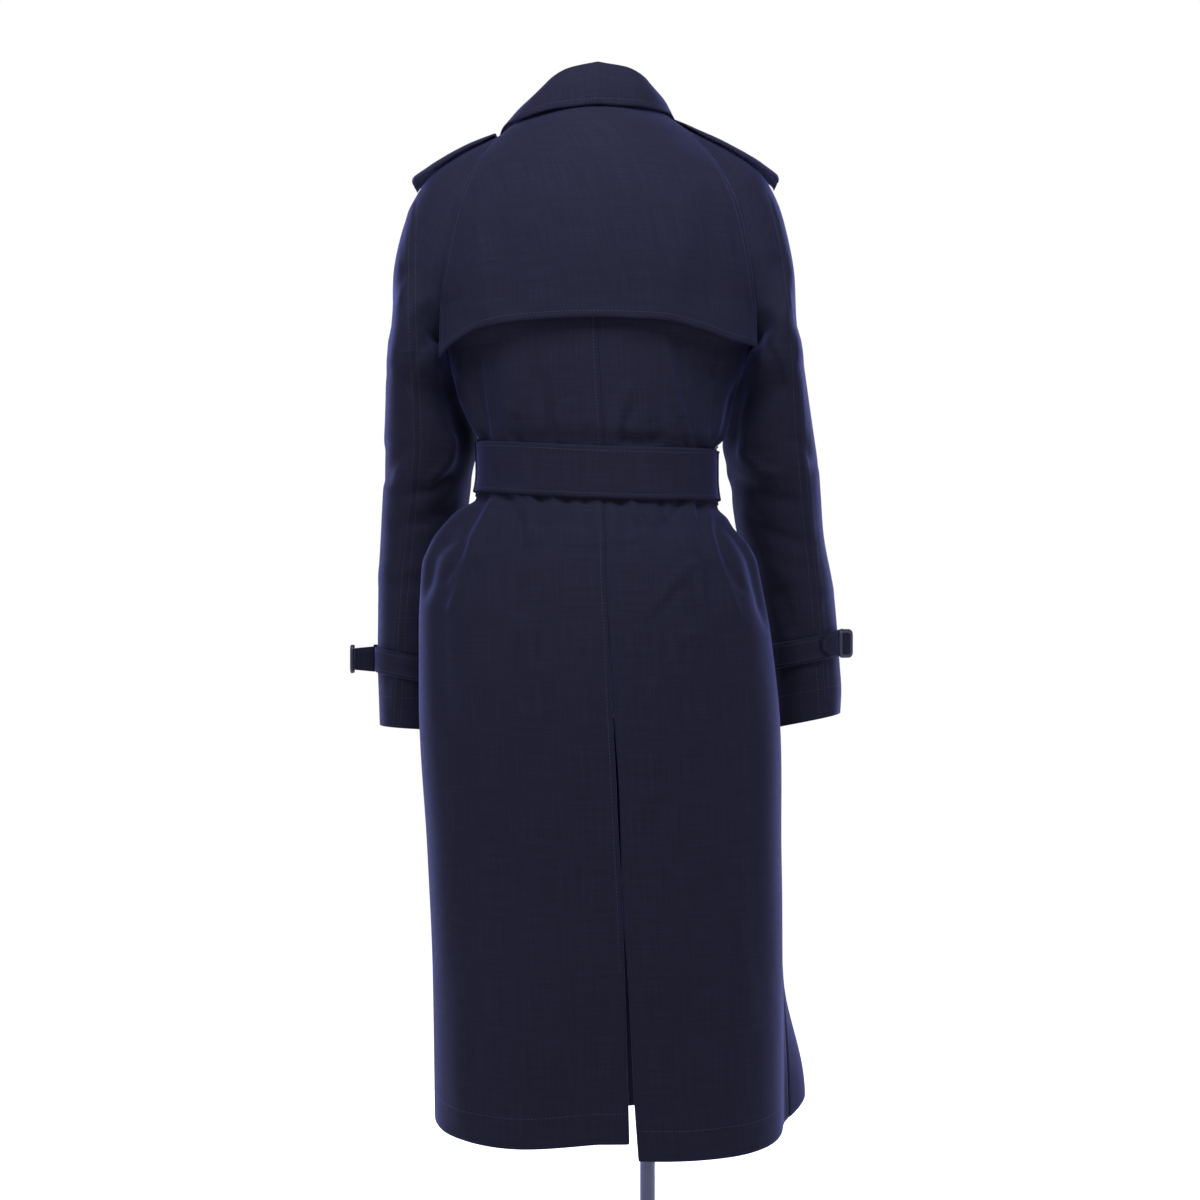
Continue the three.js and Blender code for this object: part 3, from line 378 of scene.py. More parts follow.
# A thin closed shell from a grid: outer face, inner face and a rolled edge between them
def addWall(name, points, normals, thick, material, replaced=(), ring=False):
    rows, columns = points.shape[:2]
    deep = np.broadcast_to(np.asarray(thick, float), (rows, columns))[..., None]
    inner = points - normals * deep
    verts = [points.reshape(-1, 3), inner.reshape(-1, 3)]
    count = rows * columns
    index = np.arange(count).reshape(rows, columns)
    wide = np.concatenate([index, index[:, :1]], 1) if ring else index
    a, b, c, d = wide[:-1, :-1], wide[:-1, 1:], wide[1:, 1:], wide[1:, :-1]
    outerFaces = np.stack([a, b, c, d], -1).reshape(-1, 4)
    innerFaces = np.stack([a, d, c, b], -1).reshape(-1, 4) + count
    faces = [outerFaces, innerFaces]
    loops = [(index[0], points[0] - points[1]), (index[-1][::-1], (points[-1] - points[-2])[::-1])]
    if not ring:
        border = np.concatenate([index[0, :-1], index[:-1, -1], index[-1, :0:-1], index[:0:-1, 0]])
        away = np.zeros((rows, columns, 3))
        away[0] += points[0] - points[1]
        away[-1] += points[-1] - points[-2]
        away[:, 0] += points[:, 0] - points[:, 1]
        away[:, -1] += points[:, -1] - points[:, -2]
        loops = [(border, away.reshape(-1, 3)[border])]
    start = 2 * count
    uvGrid = np.stack([runLengths(points), np.broadcast_to(np.linspace(0, 1, rows)[:, None], (rows, columns))
                       * np.linalg.norm(np.diff(points, axis=0), axis=-1).sum(0).mean()], -1)
    uvs = [uvGrid.reshape(-1, 2)] * 2
    for border, away in loops:
        away = away / np.maximum(np.linalg.norm(away, axis=1, keepdims=True), 1e-9)
        middle = (points.reshape(-1, 3)[border] + inner.reshape(-1, 3)[border]) / 2
        middle = middle + away * deep.reshape(-1, 1)[border] * 0.3
        rolled = np.arange(len(border)) + start
        start += len(border)
        verts.append(middle)
        uvs.append(uvGrid.reshape(-1, 2)[border])
        nextBorder, nextRolled = np.roll(border, -1), np.roll(rolled, -1)
        faces.append(np.stack([border, rolled, nextRolled, nextBorder], -1))
        faces.append(np.stack([rolled, border + count, nextBorder + count, nextRolled], -1))
    faces = np.concatenate(faces)
    verts = np.concatenate(verts)
    tri = verts[faces]
    volume = np.sum(np.cross(tri[:, 1] - tri[:, 0], tri[:, 2] - tri[:, 0]) * tri[:, 0])
    if volume < 0:
        faces = faces[:, ::-1]
    obj = addMesh(name, toFrame(verts), faces.tolist(), material, np.concatenate(uvs) / 1000)
    if replaced:
        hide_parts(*replaced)
    return obj


# Prints what a piece of cloth was cut to, from the lengths of its own grid
def declareSheet(obj, points, ring=False):
    closed = np.concatenate([points, points[:, :1]], 1) if ring else points
    width = runLengths(closed)[:, -1].max() / 1000
    length = runLengths(closed.transpose(1, 0, 2))[:, -1].max() / 1000
    u = closed[1:, :-1] - closed[:-1, :-1]
    v = closed[:-1, 1:] - closed[:-1, :-1]
    area = np.linalg.norm(np.cross(u, v), axis=-1).sum() / 1e6
    area = min(area, width * length)
    print(f"sheet {obj.name}: {width:.3f} x {length:.3f} m, area {area:.4f}")


# Stitches: short raised threads along a path, a little sunk at their ends
stitch = {"pitch": 3.6, "length": 2.7, "half": 0.28, "high": 0.22}
stitchRows = []


def addStitches(path, normals):
    steps = np.linalg.norm(np.diff(path, axis=0), axis=1)
    run = np.concatenate([[0], np.cumsum(steps)])
    starts = np.arange(stitch["pitch"] / 2, run[-1] - stitch["pitch"], stitch["pitch"])
    at = lambda s, values: np.stack([np.interp(s, run, values[:, i]) for i in range(3)], -1)
    a, b = at(starts, path), at(starts + stitch["length"], path)
    n = at(starts + stitch["length"] / 2, normals)
    n = n / np.linalg.norm(n, axis=1, keepdims=True)
    sideways = np.cross(b - a, n)
    sideways = sideways / np.maximum(np.linalg.norm(sideways, axis=1, keepdims=True), 1e-9)
    middle = (a + b) / 2
    stitchRows.append(np.stack([a, b, middle + sideways * stitch["half"], middle - sideways * stitch["half"],
                                middle + n * stitch["high"], middle - n * 0.5], 1))


octahedron = np.array([[0, 2, 4], [2, 1, 4], [1, 3, 4], [3, 0, 4],
                       [2, 0, 5], [1, 2, 5], [3, 1, 5], [0, 3, 5]])


def finishStitches(name, material):
    verts = np.concatenate(stitchRows).reshape(-1, 3)
    faces = (octahedron[None] + 6 * np.arange(len(verts) // 6)[:, None, None]).reshape(-1, 3)
    obj = addMesh(name, toFrame(verts), faces.tolist(), material, smoothShade=False)
    stitchRows.clear()


# Shader groups that the cloths share
def newGroup(name, inputs, outputs):
    group = bpy.data.node_groups.new(name, "ShaderNodeTree")
    for label, kind, value in inputs:
        socket = group.interface.new_socket(name=label, in_out="INPUT", socket_type=kind)
        socket.default_value = value
    for label, kind in outputs:
        group.interface.new_socket(name=label, in_out="OUTPUT", socket_type=kind)
    return group, group.nodes.new("NodeGroupInput"), group.nodes.new("NodeGroupOutput")


def mathNode(tree, operation, a, b):
    node = tree.nodes.new("ShaderNodeMath")
    node.operation = operation
    for socket, value in zip(node.inputs, (a, b)):
        if isinstance(value, (int, float)):
            socket.default_value = value
        else:
            tree.links.new(value, socket)
    return node.outputs[0]


def makeTwill():
    group, inward, outward = newGroup(
        "twill", [("Threads per metre", "NodeSocketFloat", 1500.0), ("Slub", "NodeSocketFloat", 0.35)],
        [("Height", "NodeSocketFloat"), ("Shade", "NodeSocketFloat"), ("Streak", "NodeSocketFloat")])
    uv = group.nodes.new("ShaderNodeUVMap")
    uv.uv_map = "cloth"
    split = group.nodes.new("ShaderNodeSeparateXYZ")
    group.links.new(uv.outputs[0], split.inputs[0])
    diagonal = mathNode(group, "ADD", split.outputs[0], split.outputs[1])
    turns = mathNode(group, "MULTIPLY", mathNode(group, "MULTIPLY", diagonal, inward.outputs[0]), math.tau)
    rib = mathNode(group, "SINE", turns, 0.0)
    noise = group.nodes.new("ShaderNodeTexNoise")
    noise.inputs["Scale"].default_value = 900.0
    noise.inputs["Detail"].default_value = 2.0
    group.links.new(uv.outputs[0], noise.inputs["Vector"])
    longYarns = []
    for across, along in ((520.0, 16.0), (19.0, 560.0)):  # slubs run with the warp and with the weft
        stretched = group.nodes.new("ShaderNodeCombineXYZ")
        group.links.new(mathNode(group, "MULTIPLY", split.outputs[0], across), stretched.inputs[0])
        group.links.new(mathNode(group, "MULTIPLY", split.outputs[1], along), stretched.inputs[1])
        yarn = group.nodes.new("ShaderNodeTexNoise")
        yarn.inputs["Scale"].default_value = 1.0
        yarn.inputs["Detail"].default_value = 3.0
        group.links.new(stretched.outputs[0], yarn.inputs["Vector"])
        longYarns.append(yarn.outputs[0])
    group.links.new(mathNode(group, "MULTIPLY", mathNode(group, "ADD", *longYarns), 0.5), outward.inputs[2])
    slub = mathNode(group, "MULTIPLY", noise.outputs[0], inward.outputs[1])
    height = mathNode(group, "ADD", mathNode(group, "MULTIPLY", rib, 0.5), slub)
    group.links.new(height, outward.inputs[0])
    group.links.new(noise.outputs[0], outward.inputs[1])
    return group


def makeWear():
    group, inward, outward = newGroup(
        "softWear", [("Scale", "NodeSocketFloat", 6.0), ("Amount", "NodeSocketFloat", 0.5)],
        [("Mask", "NodeSocketFloat"), ("Fine", "NodeSocketFloat")])
    place = group.nodes.new("ShaderNodeTexCoord")
    for scale, socket in ((1.0, 0), (14.0, 1)):
        noise = group.nodes.new("ShaderNodeTexNoise")
        noise.inputs["Detail"].default_value = 4.0
        group.links.new(mathNode(group, "MULTIPLY", inward.outputs[0], scale), noise.inputs["Scale"])
        group.links.new(place.outputs["Object"], noise.inputs["Vector"])
        twice = mathNode(group, "MULTIPLY", inward.outputs[1], 2.0)
        group.links.new(mathNode(group, "MULTIPLY", noise.outputs[0], twice), outward.inputs[socket])
    return group


twill, softWear = makeTwill(), makeWear()


def useGroup(tree, group, **values):
    node = tree.nodes.new("ShaderNodeGroup")
    node.node_tree = group
    for name, value in values.items():
        node.inputs[name].default_value = value
    return node


def mixColors(tree, factor, a, b):
    mix = tree.nodes.new("ShaderNodeMix")
    mix.data_type = "RGBA"
    tree.links.new(factor, mix.inputs[0])
    for socket, value in ((mix.inputs[6], a), (mix.inputs[7], b)):
        if isinstance(value, tuple):
            socket.default_value = (*value, 1)
        else:
            tree.links.new(value, socket)
    return mix.outputs[2]


def makeMaterial(name, look):
    material = bpy.data.materials.new(name)
    material.use_nodes = True
    tree = material.node_tree
    shader = tree.nodes["Principled BSDF"]
    wear = useGroup(tree, softWear, Scale=look.get("wearScale", 6.0))
    color = mixColors(tree, wear.outputs[0], look["dark"], look["light"])
    height = wear.outputs[1]
    if "threads" in look:
        weave = useGroup(tree, twill, Slub=look["slub"])
        weave.inputs[0].default_value = look["threads"]
        above = mathNode(tree, "SUBTRACT", weave.outputs[2], 0.42)
        streak = mathNode(tree, "MULTIPLY", above, look["streak"])
        tree.nodes[-1].use_clamp = True
        color = mixColors(tree, mathNode(tree, "MULTIPLY", weave.outputs[1], 0.35), color, look["thread"])
        color = mixColors(tree, streak, color, look["thread"])
        height = mathNode(tree, "ADD", weave.outputs[0], mathNode(tree, "MULTIPLY", wear.outputs[1], 0.5))
    tree.links.new(color, shader.inputs["Base Color"])
    rough = mathNode(tree, "ADD", mathNode(tree, "MULTIPLY", wear.outputs[1], 0.1), look["rough"])
    tree.links.new(rough, shader.inputs["Roughness"])
    bump = tree.nodes.new("ShaderNodeBump")
    bump.inputs["Strength"].default_value = look["bump"]
    bump.inputs["Distance"].default_value = look["bumpDepth"]
    tree.links.new(height, bump.inputs["Height"])
    tree.links.new(bump.outputs[0], shader.inputs["Normal"])
    shader.inputs["Metallic"].default_value = look.get("metal", 0.0)
    shader.inputs["Specular IOR Level"].default_value = look.get("specular", 0.5)
    shader.inputs["Sheen Weight"].default_value = look.get("sheen", 0.0)
    shader.inputs["Sheen Roughness"].default_value = look.get("sheenRough", 0.5)
    shader.inputs["Sheen Tint"].default_value = (*look.get("sheenTint", (1, 1, 1)), 1)
    shader.inputs["Coat Weight"].default_value = look.get("coat", 0.0)
    return material


looks = {
    "coatTwill": {"dark": (0.0045, 0.0044, 0.0088), "light": (0.0073, 0.0071, 0.0135),
                  "thread": (0.0135, 0.0135, 0.026), "rough": 0.75, "bump": 0.35, "bumpDepth": 0.0002,
                  "threads": 1300.0, "slub": 0.5, "streak": 1.8,
                  "sheen": 0.17, "sheenRough": 0.3, "sheenTint": (0.32, 0.34, 1.0), "specular": 0.05},
    "thread": {"dark": (0.013, 0.013, 0.026), "light": (0.02, 0.02, 0.038), "rough": 0.6,
               "bump": 0.2, "bumpDepth": 0.0001, "specular": 0.3},
    "horn": {"dark": (0.006, 0.006, 0.01), "light": (0.014, 0.012, 0.02), "rough": 0.25, "bump": 0.05,
             "bumpDepth": 0.0001, "coat": 0.3, "wearScale": 60.0},
    "coveredBuckle": {"dark": (0.007, 0.007, 0.014), "light": (0.013, 0.013, 0.026), "rough": 0.48,
                      "bump": 0.25, "bumpDepth": 0.00015, "wearScale": 120.0, "coat": 0.1, "specular": 0.35},
    "formLinen": {"dark": (0.4, 0.35, 0.29), "light": (0.52, 0.47, 0.4), "thread": (0.6, 0.55, 0.48),
                  "rough": 0.85, "bump": 0.3, "bumpDepth": 0.0002, "threads": 900.0, "slub": 0.8,
                  "streak": 2.0, "sheen": 0.1},
    "standEnamel": {"dark": (0.052, 0.056, 0.09), "light": (0.075, 0.08, 0.12), "rough": 0.38, "bump": 0.08,
                    "bumpDepth": 0.0001, "metal": 0.3, "wearScale": 30.0},
}
materials = {name: makeMaterial(name, look) for name, look in looks.items()}
print("materials made")

seamReach = 0.9985  # panels stop just short of the seam line
seamDip = {"deep": 0.8, "wide": 1.7}


def dipAt(points, normals, edge, deep=None):
    runs = runLengths(points if edge == "last" else points[:, ::-1])
    away = runs[:, -1:] - runs
    if edge == "first":
        away = away[:, ::-1]
    dip = np.exp(-((away / seamDip["wide"]) ** 2)) * (deep or seamDip["deep"])
    return points - normals * dip[..., None]


# Shares across a face, closer together at its two seams
def shares(count, width):
    near = np.array([0.0, 0.8, 1.7, 3.0, 5.0]) / width
    middle = np.linspace(near[-1], 1 - near[-1], count)
    return np.unique(np.concatenate([near, middle, 1 - near]))


# Strokes seen from the back: x and z at both ends, bow, width, steep, out
backCreases = [
    (124, 1154, 110, 1049, 2, 4.4, 1.9, -5.6), (114, 1150, 106, 1052, 2, 4, 1.5, 2.8),
    (133, 1120, 118, 1052, -3, 4.6, 1.4, -3), (145, 1132, 120, 1058, -4, 4.4, 1.2, 3),
    (-72, 1150, -97, 1048, 3, 4, 1.3, 3.2), (-80, 1162, -103, 1048, 3, 4.6, 1.9, -5),
    (-117, 1115, -112, 1056, 2, 4.2, 1.2, 3), (-127, 1125, -121, 1052, 3, 4.6, 1.2, -3),
    (-122, 1152, -118, 1120, 0, 4.5, 1, -4), (-32, 1107, -17, 1046, 3, 6, 1, 2.2),
    (-36, 1085, -24, 1048, 2, 4, 1, -1.8), (-66, 1057, -20, 1055, -4, 5, 1, -2.5),
    (60, 1120, 52, 1050, -3, 6, 1.3, -2.2), (28, 1090, 34, 1050, 2, 5, 1, 1.6),
    (84, 1078, 80, 1048, 1, 3.4, 1.2, -2.6), (92, 1090, 88, 1048, 1, 3.4, 1.2, 2.4),
    (44, 1068, 42, 1048, 0, 3, 1, -1.8), (8, 1066, 10, 1048, 0, 3.4, 1, -1.5),
    (-52, 1072, -56, 1048, 1, 3, 1, -2), (-86, 1076, -90, 1048, 1, 3.4, 1, -2.6),
    (94, 1000, 75, 938, -6, 3, 1.4, -5), (86, 1000, 66, 944, -6, 3.4, 1.2, 3.2),
    (106, 997, 121, 928, 4, 4.2, 1.3, 3.2), (113, 1001, 158, 944, -6, 4.4, 1.3, -4.6),
    (132, 964, 160, 908, -4, 4, 1.5, -5), (128, 952, 150, 880, -4, 4, 1.2, 3),
    (156, 912, 154, 770, 3, 7, 1.2, -2.2), (59, 1000, 54, 962, 1, 3, 1.3, -3.6),
    (31, 999, 33, 968, 0, 2.9, 1.2, -2.8), (72, 998, 60, 952, -3, 3.6, 1, 2.6),
    (46, 999, 44, 972, 0, 3, 1, 1.8), (14, 999, 12, 976, 0, 3, 1, -1.8), (2, 999, -2, 970, 0, 3, 1, 1.3),
    (-20, 999, -43, 964, 4, 3.4, 1.4, -3.8), (-32, 999, -56, 958, 4, 3.2, 1, 2.2),
    (-87, 1001, -64, 964, -4, 3.4, 1.4, -4), (-62, 1000, -74, 968, 2, 3, 1, -2.4),
    (-104, 992, -131, 888, 5, 4.8, 1.6, -4.4), (-112, 978, -140, 878, 5, 4.8, 1.3, 3),
    (-96, 998, -116, 930, 4, 3.4, 1.2, 3), (-122, 966, -150, 900, 5, 4, 1.3, -3.6),
    (38, 956, -42, 953, 5, 5, 1, 1.6), (30, 944, -30, 940, 4, 5, 1, -1), (-96, 858, -48, 790, 5, 6, 1, 1.8),
    (-84, 846, -40, 782, 5, 5, 1, -1.2), (-101, 930, -62, 888, 4, 5, 1, 2),
    (-92, 906, -58, 872, 3, 5, 1, -1.4), (52, 905, 84, 842, 5, 7, 1, 1.4),
    (44, 770, 74, 712, 5, 8, 1, -1.2), (-56, 700, -34, 664, 4, 6, 1, 1.4),
    (-70, 690, -44, 640, 4, 6, 1, -1.1), (40, 690, 20, 620, -5, 8, 1, 1.2),
    (86, 640, 66, 560, -5, 9, 1, -1.3), (10, 850, 30, 700, -8, 12, 1.2, 1.4),
    (70, 880, 95, 640, 9, 13, 1.2, 1.8), (-60, 780, -90, 560, -8, 14, 1.2, 1.6),
    (120, 700, 118, 420, 6, 12, 1.3, -2.4), (60, 620, 70, 400, 5, 13, 1, 1.8),
    (-90, 560, -100, 380, 6, 12, 1.2, -2.2), (-140, 760, -150, 470, 6, 10, 1.2, 2.2),
    (20, 560, 24, 380, 4, 10, 1, -1.3), (-60, 640, -56, 420, 4, 12, 1, 1.4),
    (132, 520, 136, 360, 4, 9, 1.2, 2), (-124, 470, -132, 350, 4, 8, 1.2, -2.2),
]
frontCreases = [
    (70, 1120, 92, 1050, 3, 5, 1.4, -5), (56, 1105, 66, 1052, 3, 5, 1.2, 2.5),
    (-66, 1125, -90, 1050, -3, 5, 1.4, -5), (-20, 1140, -34, 1052, 4, 8, 1.2, 2),
    (24, 1120, 18, 1050, 3, 7, 1.2, -2), (110, 1110, 104, 1052, -3, 5, 1, 3),
    (-112, 1116, -106, 1052, 3, 5, 1, 3), (-96, 1225, -60, 1150, 6, 9, 1.2, -2),
    (96, 1225, 70, 1150, -6, 9, 1.2, -2), (88, 996, 104, 930, 4, 4.5, 1.3, -4),
    (64, 997, 70, 950, 3, 4, 1.2, -3), (40, 997, 36, 962, 2, 4, 1.2, -2.5),
    (-36, 997, -46, 955, 3, 4.5, 1.2, -3), (-72, 997, -92, 930, 4, 5, 1.3, -4),
    (-100, 990, -122, 890, 5, 6, 1.4, 3), (112, 990, 136, 900, -5, 6, 1.4, 3),
    (30, 900, 44, 640, 8, 16, 1.2, 2), (-50, 860, -70, 560, -8, 17, 1.2, 2),
    (95, 800, 112, 420, 8, 14, 1.3, -2.2), (-105, 760, -120, 400, -7, 14, 1.3, -2.2),
    (10, 620, 6, 380, 5, 15, 1, 1.6),
]
leftSleeveCreases = [
    (196, 1230, 222, 1170, 5, 7, 1.2, -3), (176, 1200, 212, 1130, 6, 7, 1.2, 2.5),
    (168, 1160, 196, 1110, 5, 6, 1.3, -3.5), (160, 1118, 142, 1030, -5, 5, 1.5, -4.6),
    (150, 1060, 176, 1012, -6, 5.4, 1.2, 3.8), (142, 1030, 206, 1000, -7, 5.4, 1.3, -4),
    (196, 1050, 224, 1015, 4, 6, 1.2, -2.5), (150, 990, 214, 968, -6, 7, 1.2, -2.5),
    (160, 940, 232, 916, -5, 8, 1.2, 2), (164, 900, 176, 850, 4, 7, 1.2, -2),
    (206, 900, 214, 846, -4, 8, 1.2, 1.6), (230, 1120, 226, 1060, 3, 8, 1, 2),
    (182, 805, 186, 765, 2, 7, 1, -1.2), (214, 808, 210, 762, 3, 7, 1, 1.2),
]
rightSleeveCreases = [
    (-182, 1240, -210, 1170, -5, 7, 1.2, -3), (-168, 1195, -208, 1140, -6, 7, 1.2, 2.5),
    (-162, 1160, -190, 1106, -5, 6, 1.3, -3.5), (-150, 1110, -144, 1040, 4, 5, 1.5, -4),
    (-146, 1050, -190, 1020, 6, 6, 1.2, 3), (-142, 1020, -214, 994, 7, 6, 1.3, -3),
    (-200, 1060, -230, 1030, -4, 6, 1.2, -2.4), (-160, 976, -226, 950, 6, 7, 1.2, -2.6),
    (-176, 930, -246, 900, 5, 8, 1.2, 2), (-190, 900, -204, 856, -4, 7, 1.2, -2),
    (-232, 890, -238, 850, 4, 7, 1.2, 1.6), (-206, 812, -204, 766, 2, 7, 1, -1.3),
    (-238, 814, -236, 764, 3, 7, 1, 1.2),
]
flapCreases = [
    (118, 1290, 112, 1178, 5, 9, 1.5, 2.4), (92, 1270, 80, 1180, 4, 10, 1.2, -1.8),
    (-86, 1290, -70, 1180, -5, 10, 1.2, 1.6), (-112, 1300, -110, 1186, -4, 9, 1.2, -1.6),
    (20, 1260, 14, 1178, 4, 14, 1, 1.2), (-30, 1280, -36, 1180, 4, 14, 1, -1.2),
    (60, 1370, 100, 1330, 4, 10, 1, 1.2), (-60, 1370, -98, 1330, -4, 10, 1, 1.2),
]


def bodyLevels(count):
    return np.linspace(hem, neckline, count)


def lapped(points, normals, levels, lift=0.0):
    edge = columnAt(frontEdgeTable, levels, "x")
    raised = lapLift * smooth((points[..., 0] + edge + 25) / 25)
    return points + normals * (raised + lift)[..., None]


# Back panels, from the centre-back seam to the side and raglan seams
def backGrid(side):
    levels = bodyLevels(360)[:, None]
    gap = columnAt(backSeamTable, levels, "gap") / 2
    start = acrossAt("back", levels, columnAt(backSeamTable, levels, "x") + side * gap)
    share = shares(86, 230)[None]
    points = bodyPoints("back", levels, start + (side * seamReach - start) * share)
    normals = normalsFrom(points, (0, 0, 700))
    toSeam = runLengths(points)
    strength = joinedCreases(backCreases, frontCreases, points, toSeam[:, -1:] - toSeam)
    points = points + normals * strength[..., None]
    normals = normalsFrom(points, (0, 0, 700))
    points = dipAt(points, normals, "last")
    return dipAt(points, normals, "first"), normals


def frontGrid(side):
    levels = bodyLevels(300)[:, None]
    edge, inner = (columnAt(frontEdgeTable, levels, name) for name in ("x", "inner"))
    first = np.linspace(0, 1, 30)[None]
    x = -side * edge + (side * inner + side * edge) * first
    near = acrossAt("front", levels, x)
    start = acrossAt("front", levels, side * inner)
    rest = start + (side * seamReach - start) * shares(36, 140)[None, 1:]
    across = np.concatenate([near, rest], 1)
    points = bodyPoints("front", levels, across)
    normals = normalsFrom(points, (0, 0, 700))
    toSeam = runLengths(points)
    strength = joinedCreases(frontCreases, backCreases, points, toSeam[:, -1:] - toSeam)
    points = points + normals * strength[..., None]
    if side < 0:
        points = lapped(points, normals, levels)
    normals = normalsFrom(points, (0, 0, 700))
    return dipAt(points, normals, "last"), normals


# The overarm seam lies behind each sleeve's outer side; x from the coat's middle at each level
overarm = {
    "left": table(["z", "x"],
      [[750, 214], [900, 204], [1000, 192], [1060, 186], [1196, 189], [1298, 190], [1330, 172]]),
    "right": table(["z", "x"],
      [[750, 240], [900, 228], [1000, 216], [1060, 208], [1120, 203], [1206, 196], [1306, 178], [1340, 150]]),
    "wide": 7.0, "high": 0.8, "stitch": (-2.5, 5.0)}


def overarmAway(side, points):
    line = overarm["left" if side > 0 else "right"]
    return np.abs(points[..., 0]) - columnAt(line, points[..., 2], "x")


def overarmPath(side, points, normals, aside):
    away = overarmAway(side, points) - aside
    path, out = [], []
    for row in range(len(points)):
        if points[row, 0, 2] > 1330 or points[row, -1, 2] > 1334:
            continue
        spots = np.nonzero((away[row, :-1] < 0) & (away[row, 1:] >= 0))[0]
        if len(spots) == 0 or points[row, spots[0], 1] < 5 - 110 * (points[row, 0, 2] < 1060):
            continue
        j = spots[0]
        t = away[row, j] / (away[row, j] - away[row, j + 1])
        path.append(points[row, j] * (1 - t) + points[row, j + 1] * t)
        out.append(normals[row, j] * (1 - t) + normals[row, j + 1] * t)
    return np.array(path), np.array(out)


def sleeveGrid(side, face):
    levels = np.linspace(cuff, neckline, 240)[:, None]
    points = sleevePoints(side, face, levels, 0.0015 + shares(58, 130)[None] * 0.997)
    normals = gridNormals(points)
    centre = points.mean(1, keepdims=True)
    normals = normals if np.sum(normals[:, 5:-5] * (points - centre)[:, 5:-5]) > 0 else -normals
    back = 1 if face == "back" else -1
    if np.sum(normals[..., 1] * back) < 0:
        normals = -normals
    creases = leftSleeveCreases if side > 0 else rightSleeveCreases
    runs = runLengths(points)
    ends = np.minimum(runs, runs[:, -1:] - runs)
    shift = 7 - back * 7 * smooth(ends / 20)  # the front's creases lie lower, and both agree at the seams
    strength = creaseOut(creases, points[..., 0], points[..., 2] + shift)
    fade = smooth((levels - 770) / 30) * smooth((1330 - levels) / 120)
    fade = fade * (1 - smooth((levels - 1130) / 20) * (1 - smooth(runs / 16)))
    if face == "back":
        away = overarmAway(side, points)
        felled = smooth(away / 1.5) * smooth((overarm["wide"] + 5 - away) / 5)
        felled = felled * smooth((1315 - points[..., 2]) / 20)
        strength = strength + overarm["high"] * felled / np.maximum(fade, 0.05)
    points = points + normals * (strength * fade)[..., None]
    again = gridNormals(points)
    normals = again if np.sum(again * normals) > 0 else -again
    return dipAt(dipAt(points, normals, "last", 0.6), normals, "first"), normals


sideNames = (("left", 1), ("right", -1))
# How far in from an edge each stitch line runs; the vent's starts at a row of the back's grid
stitchIn = {"skirt": 30, "sleeve": 32, "front": 7, "vent": 5, "lapel": 5, "epaulette": 5, "belt": 4,
            "cuff": 3.5, "tab": 3, "collar": 6}
ventRow = 60


# A piece of cloth: its wall, the sheet that it was cut as, and stitches a distance in from its edges
def addCloth(name, made, thick, node=None, held=None, seams=(), ring=False):
    points, normals = made
    replaced = [node] if node else []
    obj = addWall(name, points, normals, thick, materials["coatTwill"], replaced, ring)
    if held:
        declareSheet(obj, points, ring)
    for edge, distance in seams:
        addStitches(*insetPath(points, normals, edge, distance))


for name, side in sideNames:
    back, front = backGrid(side), frontGrid(side)
    hemSeam = ("low", stitchIn["skirt"])
    addCloth(f"back{name.title()}", back, wall, f"back_{name}", "hung", [hemSeam])
    addCloth(f"front{name.title()}", front, wall, f"front_{name}", "hung",
             [hemSeam, ("first", stitchIn["front"])])
    if name == "left":
        vented = back
    for part in ("back", "front"):
        made = sleeveGrid(side, part)
        addCloth(f"sleeve{name.title()}{part.title()}", made, wall, f"sleeve_{name}_{part}", "hung",
                 [("low", stitchIn["sleeve"])])
        if part == "back":
            for aside in overarm["stitch"]:
                addStitches(*overarmPath(side, *made, aside))
points, normals = (grid[ventRow:] for grid in vented)
addStitches(*insetPath(points, normals, "first", stitchIn["vent"]))
print("panels made")

# The storm flap keeps the upper back's shape and hangs free below it
stormFlap = {"thick": 1.6, "top": 1398.0, "topLift": 0.5, "lowLift": 5.0, "hang": 1200.0, "edge": 6.0}


def flapGrid():
    across = np.linspace(-1, 1, 180)[None]
    down = np.concatenate([np.linspace(0, 0.97, 90), [0.985, 1.0]])[:, None]
    lowest = columnAt(flapEdgeTable, across, "level")
    level = stormFlap["top"] + (lowest - stormFlap["top"]) * down
    held = np.maximum(level, stormFlap["hang"])
    base = bodyPoints("back", held, across * seamReach)
    base[..., 2] -= held - level
    normals = normalsFrom(base, (0, -60, 1200))
    spread = stormFlap["lowLift"] - stormFlap["topLift"]
    lift = stormFlap["thick"] + stormFlap["topLift"] + spread * down ** 2
    crease = creaseOut(flapCreases, base[..., 0], base[..., 2]) * smooth(down * 1.4)
    points = base + normals * (lift + np.maximum(crease, -lift + stormFlap["thick"] + 0.4))[..., None]
    return points, normalsFrom(points, (0, -60, 1200))


addCloth("stormFlap", flapGrid(), stormFlap["thick"], "storm_flap", "hung",
         [(edge, stormFlap["edge"]) for edge in ("high", "first", "last")])

# Lapels roll out from the front edges
lapel = {"foot": 1168.0, "underFoot": 1238.0, "top": 1396.0, "drop": 61.0, "thick": 1.8,
         "liftLeft": 0.9, "liftRight": 1.7}


